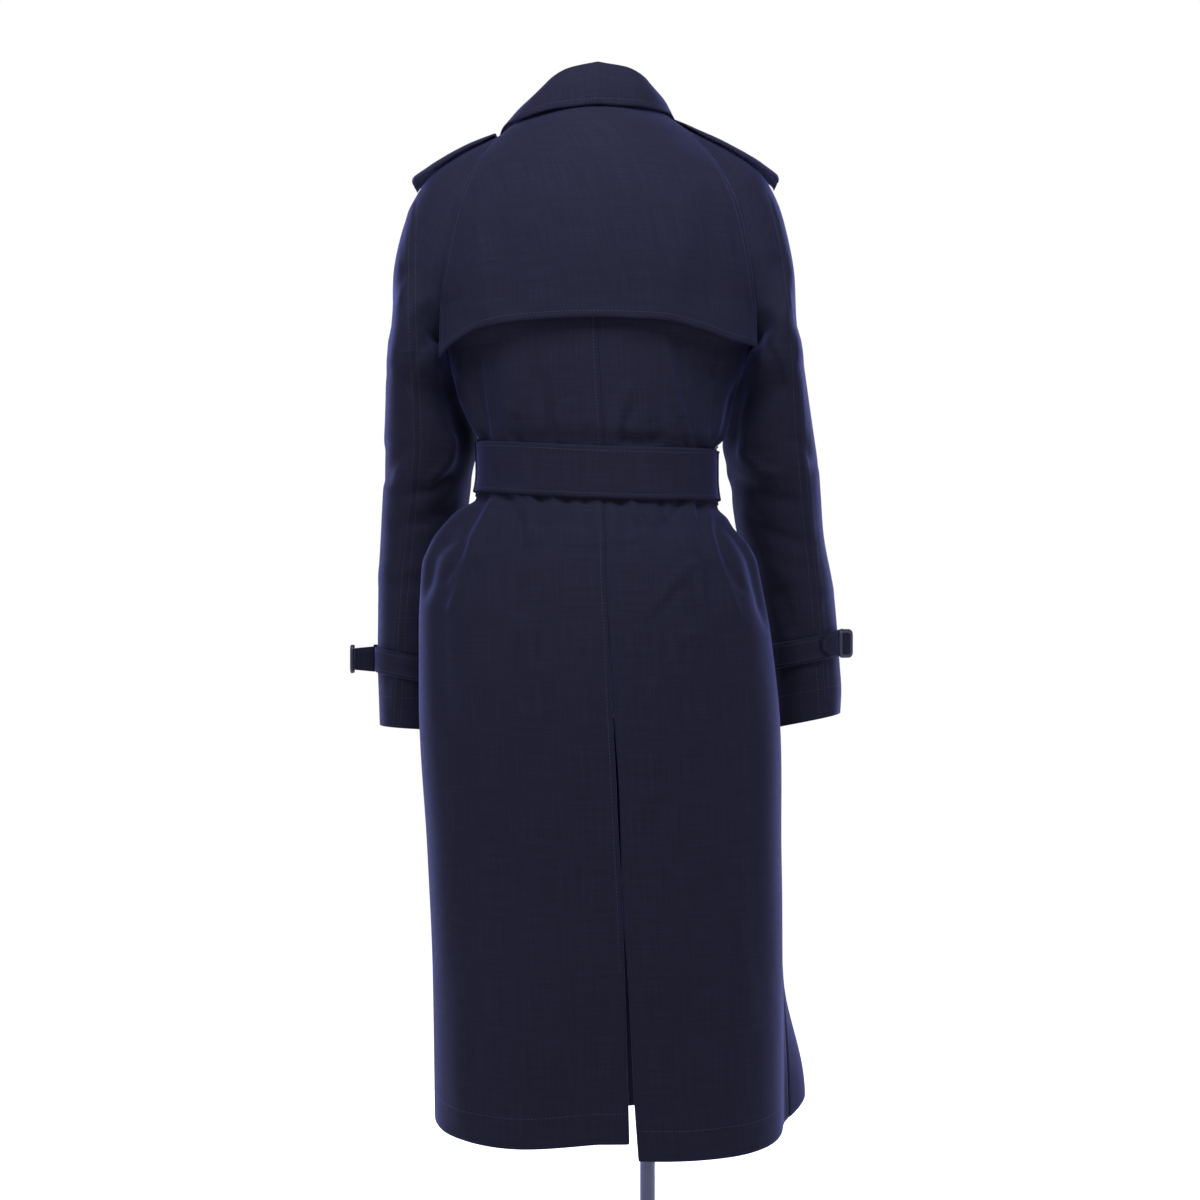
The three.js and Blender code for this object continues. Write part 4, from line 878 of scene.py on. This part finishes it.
def lapelGrid(side):
    foot = lapel["foot"] if side < 0 else lapel["underFoot"]
    up, out = np.linspace(0, 1, 70)[:, None], np.linspace(0, 1, 34)[None]
    level = foot + (lapel["top"] - lapel["drop"] * out - foot) * up
    edge = columnAt(frontEdgeTable, level, "x")
    start = -edge if side < 0 else np.maximum(-edge, edge + 3)
    end = -edge + columnAt(lapelWidthTable, level, "w")
    x = side * (start + (end - start) * out)
    base = bodyPoints("front", level, acrossAt("front", level, x))
    normals = normalsFrom(base, (0, 60, 1200))
    lift = lapel["thick"] + lapel["liftRight" if side < 0 else "liftLeft"] + 2 * out * up
    lift = lift + 1.2 * np.exp(-((out / 0.12) ** 2)) * up
    if side < 0:
        base = lapped(base, normals, level)
    points = base + normals * lift[..., None]
    return points, normalsFrom(points, (0, 60, 1200))


for name, side in sideNames:
    addCloth(f"lapel{name.title()}", lapelGrid(side), lapel["thick"], f"lapel_{name}", "folded",
             [(edge, stitchIn["lapel"]) for edge in ("last", "high")])

# The collar goes up its stand, over the fold and down its fall
collarSize = {"wall": 2.4, "right": {"stand": 0.97, "fold": 0.92, "edge": 0.8},
              "rise": {"stand": 3, "fold": 6, "edge": 10}}


def collarLine(line, along):
    far = np.abs(along)
    right = np.where(along < 0, collarSize["right"][line], 1)
    rise = collarSize["rise"][line] * smooth(far * 1.8) * (1 - 0.75 * smooth((far - 0.75) * 4))
    rise = np.where(along < 0, rise, 0)
    at = lambda axis: columnAt(collarTable, far, line + axis)
    return np.stack([np.sign(along) * at("X") * right, at("Y"), at("Z") + rise], -1)


def collarGrid():
    along = np.linspace(-1, 1, 150)
    stand, fold, edge = (collarLine(line, along) for line in ("stand", "fold", "edge"))
    across = edge - stand
    across[:, 2] = 0
    across /= np.linalg.norm(across, axis=1, keepdims=True)
    drop = np.array([0.0, 0.0, 1.0])
    knots = np.stack([stand, stand + (fold - stand) * 0.55 - across, fold - drop * 4, fold + across * 3,
                      fold + across * 7 - drop * 2.5,
                      (fold + across * 7 + edge) / 2 + across * 2 + drop * 1.3, edge], 1)
    spots = np.linspace(0, 6, 46)
    i = np.clip(spots.astype(int), 0, 5)
    t = (spots - i)[None, :, None]
    padded = np.concatenate([2 * knots[:, :1] - knots[:, 1:2], knots, 2 * knots[:, -1:] - knots[:, -2:-1]], 1)
    p0, p1, p2, p3 = (padded[:, i + k] for k in range(4))
    points = 0.5 * (2 * p1 + (p2 - p0) * t + (2 * p0 - 5 * p1 + 4 * p2 - p3) * t * t
                    + (3 * p1 - p0 - 3 * p2 + p3) * t ** 3)
    normals = gridNormals(points)
    return points, normals if np.sum(normals[60:90, 36:, 1]) > 0 else -normals


points, normals = collarGrid()
addCloth("coatCollar", (points, normals), collarSize["wall"], "collar", "folded")
for edge in ("last", "low", "high"):
    path, out = insetPath(points, normals, edge, stitchIn["collar"])
    start = 0 if edge == "last" else 24
    addStitches(path[start:], out[start:])
print("flap, lapels and collar made")

# Epaulettes follow the shoulder seam and jut out past the shoulder's curve
epaulette = {"thick": 3.6, "innerRight": 1390.0, "rows": table(["along", "level", "half", "lift"],
    [[0, 1369, 17, 1], [1, 1356, 20, 1], [2, 1335, 22, 1], [3, 1314, 24, 1.2],
     [4, 1295, 25, 3], [5, 1280, 25, 7], [6, 1268, 25, 12]])}


def epauletteGrid(side):
    along = np.linspace(0, 6, 50)
    rows = [columnAt(epaulette["rows"], along, name) for name in ("level", "half", "lift")]
    if side < 0:
        rows[0] = rows[0] + (epaulette["innerRight"] - rows[0][0]) * np.maximum(0, 1 - along) ** 1.5
    points = []
    for level, half, lift in zip(*rows):
        line = []
        for face, places in (("front", np.linspace(1, 0, 14)[:-1]), ("back", np.linspace(0, 1, 14))):
            t = np.linspace(0, 1, 200)
            arc = sleevePoints(side, face, np.full(200, level), t)
            back = 1 if face == "back" else -1
            y = arc[:, 1] * back
            spot = np.interp(places * half, y[::-1], t[::-1])
            line.append(sleevePoints(side, face, np.full(len(spot), level), spot))
        points.append(np.concatenate(line))
    points = np.array(points)
    normals = normalsFrom(points, (0, 0, 1200))
    across = np.linspace(-1, 1, 27)[None]
    toEnd = np.clip((6 - along) / 0.75, 0, 1)[:, None]
    rounded = np.sqrt(np.maximum(0.04, 1 - np.maximum(0, (np.abs(across) - 0.8) / 0.2) ** 2))
    rounded = rounded * np.sqrt(np.maximum(0.05, 1 - (1 - toEnd) ** 2))
    thick = epaulette["thick"] * rounded
    droop = 3.0 * (1 - toEnd) ** 2
    bow = 1.6 * np.sin(np.pi * np.clip(along / 6, 0, 1))[:, None]
    points = points + normals * (rows[2][:, None] + (epaulette["thick"] + thick) / 2 - droop + bow)[..., None]
    return points, normalsFrom(points, (0, 0, 1200)), thick


for name, side in sideNames:
    points, normals, thick = epauletteGrid(side)
    addCloth(f"epaulette{name.title()}", (points, normals), thick, f"epaulette_{name}",
             seams=[(edge, stitchIn["epaulette"]) for edge in ("first", "last", "high")])


# Round the coat: 0 is the centre back, 90 the left side, 180 the centre front
def ringPoints(turn, level, lift):
    turn, level = np.broadcast_arrays(np.asarray(turn, float), np.asarray(level, float))
    level = level + belt["sideRise"] * np.sin(np.radians(turn)) ** 2
    around = (turn + 540) % 360 - 180
    front = np.abs(around) > 90
    frontShare = np.where(around < 0, -1, 1) * (2 - np.abs(around) / 90)
    backSide = bodyPoints("back", level, np.clip(around / 90, -1, 1))
    frontSide = bodyPoints("front", level, np.clip(frontShare, -1, 1))
    points = np.where(front[..., None], frontSide, backSide)
    normals = normalsFrom(points, (0, 0, 1020))
    over = (lapLift * smooth((points[..., 0] + frontLap + 25) / 25)
            * smooth((frontLap + 25 - points[..., 0]) / 25))
    points = points + normals * (np.where(front, over, 0) + lift)[..., None]
    return points, normalsFrom(points, (0, 0, 1020))


beltLift = belt["lift"] + belt["thick"]
tailLift = beltLift + 3 + 1.4
levels = np.linspace(belt["low"], belt["high"], 26)[:, None]
made = ringPoints(np.linspace(-176, 176, 340)[None], levels, beltLift)
beltEdges = [(edge, stitchIn["belt"]) for edge in ("low", "high", "first")]
addCloth("waistBelt", made, belt["thick"], "belt", "stretched", beltEdges[:2])
levels = np.linspace(belt["low"] + 1.5, belt["high"] - 1.5, 22)[:, None]
made = ringPoints(np.linspace(109, 181, 80)[None], levels, tailLift)
addCloth("beltTail", made, belt["thick"], "belt_tail", "stretched", beltEdges)


# A loop over the belt, lying on the coat above and below it
def loopGrid(turn, halfWide, over):
    low, high = belt["low"], belt["high"]
    section = table(["at", "level", "lift"], [
        [0, low - 5, 1.6], [1, low - 2.2, 1.7], [2, low - 0.6, over], [3, 1020, over], [4, high + 0.6, over],
        [5, high + 2.2, 1.7], [6, high + 5, 1.6]])
    at = np.linspace(0, 6, 44)[:, None]
    around = turn + np.linspace(-1, 1, 10)[None] * halfWide
    return ringPoints(around, columnAt(section, at, "level"), columnAt(section, at, "lift"))


for label, node, turn, half, over in (("beltLoopLeft", "belt_loop_left", 90, 3.2, beltLift + 1.5),
                                      ("beltLoopRight", "belt_loop_right", -90, 3.2, beltLift + 1.5),
                                      ("beltKeeper", "belt_keeper", 126, 3.6, tailLift + 2.2)):
    addCloth(label, loopGrid(turn, half, over), 1.4, node)
print("belt made")

# Cuff straps: turn 0 is the sleeve's outer side, 90 its back, 180 its inner side
cuffStrap = {"wide": 26.0, "thick": 2.4, "lift": 0.8, "left": (826.0, 811.0), "right": (843.0, 828.0)}
cuffTip = {"start": 8.0, "end": 66.0, "gap": 0.8}
cuffTab = {"reach": 21.0, "wide": 22.0}


def cuffMiddle(name, turn):
    outer, inner = cuffStrap[name]
    return outer + (inner - outer) * (1 - np.cos(np.radians(turn))) / 2


def sleeveRing(side, turn, level, lift):
    turn, level = np.broadcast_arrays(np.asarray(turn, float) % 360, np.asarray(level, float))
    across = np.abs(turn - 180) / 180
    back, front = (sleevePoints(side, face, level, across) for face in ("back", "front"))
    points = np.where((turn <= 180)[..., None], back, front)
    closed = turn.shape[1] > 60
    normals = gridNormals(points, ring=closed)
    inner, outer = (sleevePoints(side, "back", level, np.full(level.shape, edge)) for edge in (0.0, 1.0))
    centre = inner / 2 + outer / 2
    normals = normals if np.sum(normals * (points - centre)) > 0 else -normals
    points = points + normals * np.asarray(lift)[..., None]
    return points, normals


for name, side in sideNames:
    high = np.linspace(-0.5, 0.5, 12)[:, None]
    turn = np.linspace(0, 360, 121)[None, :-1]
    lift = np.full((12, 120), cuffStrap["lift"] + cuffStrap["thick"])
    points, normals = sleeveRing(side, turn, cuffMiddle(name, turn) + high * cuffStrap["wide"], lift)
    addCloth(f"cuffStrap{name.title()}", (points, normals), cuffStrap["thick"], f"cuff_strap_{name}",
             "stretched", ring=True)
    for edge in ("low", "high"):
        path, out = insetPath(points, normals, edge, stitchIn["cuff"])
        addStitches(np.concatenate([path, path[:1]]), np.concatenate([out, out[:1]]))
    along = np.linspace(0, 1, 40)[:, None]
    behind = cuffTip["start"] + (cuffTip["end"] - cuffTip["start"]) * along
    turn = 360 - behind if side > 0 else behind  # the left one lies on the sleeve's front
    wide = cuffStrap["wide"] * (1 - 0.6 * smooth((along - 0.75) * 4))
    level = cuffMiddle(name, turn) + 2 + np.linspace(-0.5, 0.5, 12)[None] * wide
    lift = np.full(level.shape, cuffStrap["lift"] + 2 * cuffStrap["thick"] + cuffTip["gap"])
    made = sleeveRing(side, np.broadcast_to(turn, level.shape), level, lift)
    addCloth(f"cuffTip{name.title()}", made, cuffStrap["thick"], f"cuff_tip_{name}",
             seams=[(edge, stitchIn["cuff"]) for edge in ("first", "last", "high")])


# A rounded section swept round a rectangle with rounded corners, upright and facing +Y
def frameSweep(wide, tall, bar, thick, corner):
    spine = []
    for cx, cz, start in ((1, -1, -90), (1, 1, 0), (-1, 1, 90), (-1, -1, 180)):
        for a in np.radians(start + np.linspace(0, 90, 9)):
            out = np.array([math.cos(a), math.sin(a)])
            middle = np.array([cx * (wide / 2 - corner), cz * (tall / 2 - corner)])
            spine.append((*(middle + (corner - bar / 2) * out), *out))
    spine = np.array(spine)
    section = np.radians(np.arange(16) * 22.5)
    across = np.sign(np.cos(section)) * np.abs(np.cos(section)) ** 0.6 * bar / 2
    deep = np.sign(np.sin(section)) * np.abs(np.sin(section)) ** 0.6 * thick / 2
    x = spine[:, None, 0] + spine[:, None, 2] * across[None]
    z = spine[:, None, 1] + spine[:, None, 3] * across[None]
    return np.stack([x, np.broadcast_to(deep[None], x.shape), z], -1)


def addTube(name, grid, place, heading, material, replaced):
    rows, columns = grid.shape[:2]
    turned = grid.copy()
    turned[..., 0] = grid[..., 0] * math.cos(heading) - grid[..., 1] * math.sin(heading)
    turned[..., 1] = grid[..., 0] * math.sin(heading) + grid[..., 1] * math.cos(heading)
    i = np.arange(rows * columns).reshape(rows, columns)
    down, right = np.roll(i, -1, 0), np.roll(i, -1, 1)
    faces = np.stack([i, right, np.roll(down, -1, 1), down], -1).reshape(-1, 4)
    obj = addMesh(name, toFrame(turned + np.asarray(place)), faces.tolist(), material)
    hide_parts(replaced)


def nodeMiddle(node):
    low, high = (np.array(corner) * 1000 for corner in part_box(node))
    return (low + high) / 2 - np.array([coatX, 0, 0])


cuffBuckle = {"wide": 20.0, "tall": 31.0, "bar": 4.5, "thick": 4.0, "corner": 6.0,
              "turn": {"left": 0.0, "right": 26.0}, "twist": {"left": 0.0, "right": 0.55},
              "shift": {"left": (0, 0, 0), "right": (-1.0, 1.5, 0)}}
for name, side in sideNames:
    turn = cuffBuckle["turn"][name]
    around = np.array([[turn - 1, turn, turn + 1]] * 3)
    level = cuffMiddle(name, turn) + np.array([[-1], [0], [1]]) + 0 * around
    normal = sleeveRing(side, around, level, np.zeros((3, 3)))[1][1, 1]
    heading = math.atan2(-normal[0], normal[1]) - cuffBuckle["twist"][name]
    size = [cuffBuckle[key] for key in ("wide", "tall", "bar", "thick", "corner")]
    place = nodeMiddle(f"cuff_buckle_{name}") + cuffBuckle["shift"][name]
    addTube(f"cuffBuckle{name.title()}", frameSweep(*size), place, heading, materials["coveredBuckle"],
            f"cuff_buckle_{name}")
    if name == "right":  # the strap turns back through this one
        aside, high = np.meshgrid(np.linspace(-8.5, 5.5, 16), np.linspace(-11.5, 11.5, 14))
        fold = 2.2 * np.cos(aside / 14 * math.pi)
        points = np.stack([aside * math.cos(heading) - fold * math.sin(heading),
                           aside * math.sin(heading) + fold * math.cos(heading), high], -1)
        points = points + nodeMiddle("cuff_buckle_right") + cuffBuckle["shift"][name]
        normals = np.broadcast_to(np.array([-math.sin(heading), math.cos(heading), 0]), points.shape)
        addCloth("cuffReturn", (points, normals), cuffStrap["thick"])
beltBuckle = {"wide": 52, "tall": 70, "bar": 8, "thick": 4, "corner": 7}
addTube("beltBuckle", frameSweep(**beltBuckle), nodeMiddle("belt_buckle"), 0, materials["coveredBuckle"],
        "belt_buckle")


# The left strap's end stands out from the sleeve to its buckle
def tabGrid():
    middle = nodeMiddle("cuff_tab_left")
    low, high = (np.array(corner) * 1000 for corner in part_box("cuff_tab_left"))
    x = np.linspace(low[0] - coatX, high[0] - coatX, 24)[None]
    z = np.linspace(-0.5, 0.5, 14)[:, None] * (cuffTab["wide"] + 4 - 4 * (x - x.min()) / cuffTab["reach"])
    bend = 1.2 * np.sin((x - x.min()) / cuffTab["reach"] * math.pi)
    points = np.stack(np.broadcast_arrays(x, middle[1] + 1.4 + bend, middle[2] + z), -1)
    return points, np.broadcast_to(np.array([0.0, 1.0, 0.0]), points.shape)


addCloth("cuffTabLeft", tabGrid(), 2.8, "cuff_tab_left",
         seams=[(edge, stitchIn["tab"]) for edge in ("low", "high")])
finishStitches("topstitching", materials["thread"])
print("cuffs made")


# A turned shape from a list of radius and height
def latheGrid(profile, segments):
    angles = np.arange(segments) * math.tau / segments
    profile = np.array(profile, float)
    return np.stack([profile[:, :1] * np.cos(angles), profile[:, :1] * np.sin(angles),
                     np.broadcast_to(profile[:, 1:], (len(profile), segments))], -1)


def addLathe(name, profile, segments, place, turnTo, material, replaced):
    grid = latheGrid(profile, segments)
    rows, columns = grid.shape[:2]
    turn = np.array(turnTo)
    points = grid.reshape(-1, 3) @ turn.T + np.asarray(place)
    i = np.arange(rows * columns).reshape(rows, columns)
    right = np.roll(i, -1, 1)
    faces = np.stack([i[:-1], right[:-1], right[1:], i[1:]], -1).reshape(-1, 4).tolist()
    faces += [i[0, ::-1].tolist(), i[-1].tolist()]
    obj = addMesh(name, toFrame(points), faces, material)
    if replaced:
        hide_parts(replaced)


def turnFromUp(normal):
    z = normal / np.linalg.norm(normal)
    x = np.cross([0, 0, 1.0], z)
    x = x / np.linalg.norm(x)
    return np.stack([x, np.cross(z, x), z], 1)


buttonLevels = [1128, 1079, 955, 890]
buttonProfile = [(0.4, -2), (9.5, -2), (11.4, -1.3), (12, -0.2), (12, 0.7), (11.6, 1.5), (10.8, 1.95),
                 (10, 1.8), (9.2, 1.1),
                 (8.4, 0.8), (4.6, 0.7), (4.2, 0.6), (0.4, 0.6)]
eyeProfile = [(0.3, -0.4), (1.2, -0.4), (1.3, 0), (1.0, 0.35), (0.3, 0.45)]
for row, level in enumerate(buttonLevels):
    for name, side in sideNames:
        node = f"button_{name}_{row + 1}"
        middle = nodeMiddle(node)
        x = np.array([[middle[0] - 2, middle[0], middle[0] + 2]] * 3)
        around = bodyPoints("front", level + np.array([[-2.0], [0], [2.0]]), acrossAt("front", level, x))
        normal = normalsFrom(around, (0, 60, level))[1, 1]
        turn = turnFromUp(normal)
        addLathe(f"button{name.title()}{row + 1}", buttonProfile, 40, middle, turn, materials["horn"],
                 node)
        for a, b in ((-1, -1), (-1, 1), (1, -1), (1, 1)):
            spot = middle + turn @ np.array([a * 2.2, b * 2.2, 0.75])
            eye = f"buttonEye{name.title()}{row + 1}{'ab'[a > 0]}{'ab'[b > 0]}"
            addLathe(eye, eyeProfile, 12, spot, turn, materials["thread"], None)
print("buttons and buckles made")

# The dress form: smooth, with seams down its centre lines, and a turned cap on its neck
formRows = table(["level", "half", "back", "front"], [
    [772, 144, 108, -92], [800, 150, 112, -96], [860, 152, 112, -94], [925, 140, 98, -86],
    [966, 118, 82, -78], [990, 106, 73, -74], [1024, 104, 71, -73], [1062, 111, 76, -77],
    [1100, 123, 84, -85], [1150, 138, 90, -92], [1200, 148, 93, -96], [1245, 156, 91, -90],
    [1285, 162, 84, -76], [1312, 164, 72, -58], [1330, 162, 62, -44], [1344, 155, 54, -34],
    [1356, 138, 46, -26], [1367, 116, 42, -20], [1377, 91, 41, -17], [1386, 64, 42, -24],
    [1398, 51, 43, -32], [1414, 46, 42, -37], [1430, 45, 41, -36]])


def formGrid(inset, levels):
    angle = (np.arange(144) * math.tau / 144)[None]
    sin, cos = np.sin(angle), np.cos(angle)
    power = np.where(cos > 0, 2.1, 1.75)
    reach = (np.abs(sin) ** power + np.abs(cos) ** power) ** (-1 / power)
    seam = 0.5 * np.exp(-((sin / 0.012) ** 2))
    half = columnAt(formRows, levels, "half") - inset
    deep = np.where(cos > 0, columnAt(formRows, levels, "back"), -columnAt(formRows, levels, "front")) - inset
    return np.stack(np.broadcast_arrays(sin * reach * (half - seam), cos * reach * (deep - seam), levels), -1)


def addForm():
    levels = np.linspace(772, 1430, 140)[:, None]
    grid = formGrid(0.3, levels)
    rows, columns = grid.shape[:2]
    i = np.arange(rows * columns).reshape(rows, columns)
    right = np.roll(i, -1, 1)
    faces = np.stack([i[:-1], i[1:], right[1:], right[:-1]], -1).reshape(-1, 4).tolist()
    faces += [i[0].tolist(), i[-1, ::-1].tolist()]
    around = np.broadcast_to(np.arange(columns)[None] * 6.0, (rows, columns))
    uv = np.stack([around, np.broadcast_to(levels, (rows, columns))], -1)
    obj = addMesh("formCover", toFrame(grid), faces, materials["formLinen"], uv.reshape(-1, 2) / 1000)
    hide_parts("form_torso")


addForm()
upright = np.eye(3)
capProfile = [(1, 0.3), (42, 0.3), (42.4, 1.2), (42.2, 3.4), (41.4, 4.5), (39.5, 5.0), (12, 4.9), (1, 4.9)]
addLathe("neckCap", capProfile, 72, (0, 2, 1430), np.diag([1.0, 0.88, 1.0]), materials["formLinen"],
         "form_neck_cap")
poleProfile = [(2, 8.3), (13, 8.3), (14, 9), (14, 26), (12.6, 29), (8.4, 31), (8, 33),
               (8, 700), (8, 771), (2, 771.6)]
addLathe("standPole", poleProfile, 48, (-coatX, 0, 0), upright, materials["standEnamel"],
         "form_pole")
baseProfile = [(2, 0), (172, 0), (174.5, 1.2), (175, 3), (174.6, 5.6), (173, 7.4), (170, 8), (20, 8), (2, 8)]
addLathe("standBase", baseProfile, 128, (-coatX, 0, 0), upright, materials["standEnamel"],
         "form_base")
print("form and stand made")

# Studio: a pale floor under a white sky, which lights the coat more softly than it looks
studio = {"floor": (0.86, 0.86, 0.88), "glow": 0.72, "sky": 0.34, "top": 36.0, "key": 14.0,
          "fill": 3.0, "rim": 62.0, "side": 16.0}


def addStage():
    plain = bpy.data.materials.new("studioPaper")
    plain.use_nodes = True
    shader = plain.node_tree.nodes["Principled BSDF"]
    shader.inputs["Base Color"].default_value = (*studio["floor"], 1)
    shader.inputs["Roughness"].default_value = 0.9
    shader.inputs["Emission Color"].default_value = (1, 1, 1, 1)
    shader.inputs["Emission Strength"].default_value = studio["glow"]
    floor = bpy.data.meshes.new("floor")
    corners = [(-9, -9, -0.002), (9, -9, -0.002), (9, 9, -0.002), (-9, 9, -0.002)]
    floor.from_pydata(corners, [], [(0, 1, 2, 3)])
    floor.materials.append(plain)
    obj = bpy.data.objects.new("floor", floor)
    bpy.context.collection.objects.link(obj)


def addSky():
    world = bpy.data.worlds.new("studioWorld")
    world.use_nodes = True
    tree = world.node_tree
    seen, lit = tree.nodes["Background"], tree.nodes.new("ShaderNodeBackground")
    seen.inputs[0].default_value = lit.inputs[0].default_value = (1, 1, 1, 1)
    seen.inputs[1].default_value, lit.inputs[1].default_value = 1.0, studio["sky"]
    path, mix = tree.nodes.new("ShaderNodeLightPath"), tree.nodes.new("ShaderNodeMixShader")
    tree.links.new(path.outputs["Is Camera Ray"], mix.inputs[0])
    tree.links.new(lit.outputs[0], mix.inputs[1])
    tree.links.new(seen.outputs[0], mix.inputs[2])
    tree.links.new(mix.outputs[0], tree.nodes["World Output"].inputs[0])
    bpy.context.scene.world = world


def addLight(name, place, aim, size, power, color):
    light = bpy.data.lights.new(name, "AREA")
    light.shape = "RECTANGLE"
    light.size, light.size_y = size
    light.energy = power
    light.color = color
    obj = bpy.data.objects.new(name, light)
    bpy.context.collection.objects.link(obj)
    obj.location = place
    obj.rotation_euler = (Vector(aim) - Vector(place)).to_track_quat("-Z", "Y").to_euler()
    obj.visible_camera = False


addStage()
addSky()
addLight("topSoft", (0.05, 0.8, 2.1), (0.05, 0.05, 1.4), (0.9, 0.5), studio["top"], (0.8, 0.84, 1))
addLight("keySoft", (2.3, 1.1, 2.1), (0.05, 0, 1.0), (0.7, 1.2), studio["key"], (0.88, 0.9, 1))
addLight("fillSoft", (-2.4, 1.8, 1.4), (0.05, 0, 0.9), (1.2, 1.8), studio["fill"], (0.9, 0.92, 1))
for away in (2.6, -2.6):
    addLight("sideLight", (away, 0.6, 0.95), (0.05, 0, 0.95), (0.8, 2.2), studio["side"], (0.38, 0.43, 1))
addLight("rimLeft", (1.45, -1.9, 1.1), (0.15, 0, 0.9), (0.7, 2.4), studio["rim"], (0.47, 0.5, 1))
addLight("rimRight", (-1.35, -1.8, 1.1), (-0.05, 0, 0.9), (0.7, 2.4), studio["rim"] * 1.15, (0.47, 0.5, 1))

camera = bpy.data.objects.new("camera", bpy.data.cameras.new("camera"))
camera.data.lens = 77.1
camera.location = (0.0499, 2.7, 0.89)
camera.rotation_euler = (math.radians(90), 0, math.radians(180))
bpy.context.collection.objects.link(camera)
bpy.context.scene.camera = camera
bpy.context.scene.view_settings.view_transform = "Standard"
print("stage made")

made = sum(len(p.vertices) - 2 for obj in pieces.values() for p in obj.data.polygons)
largest = max((sum(len(p.vertices) - 2 for p in obj.data.polygons), name) for name, obj in pieces.items())
print("triangles added", made, largest)
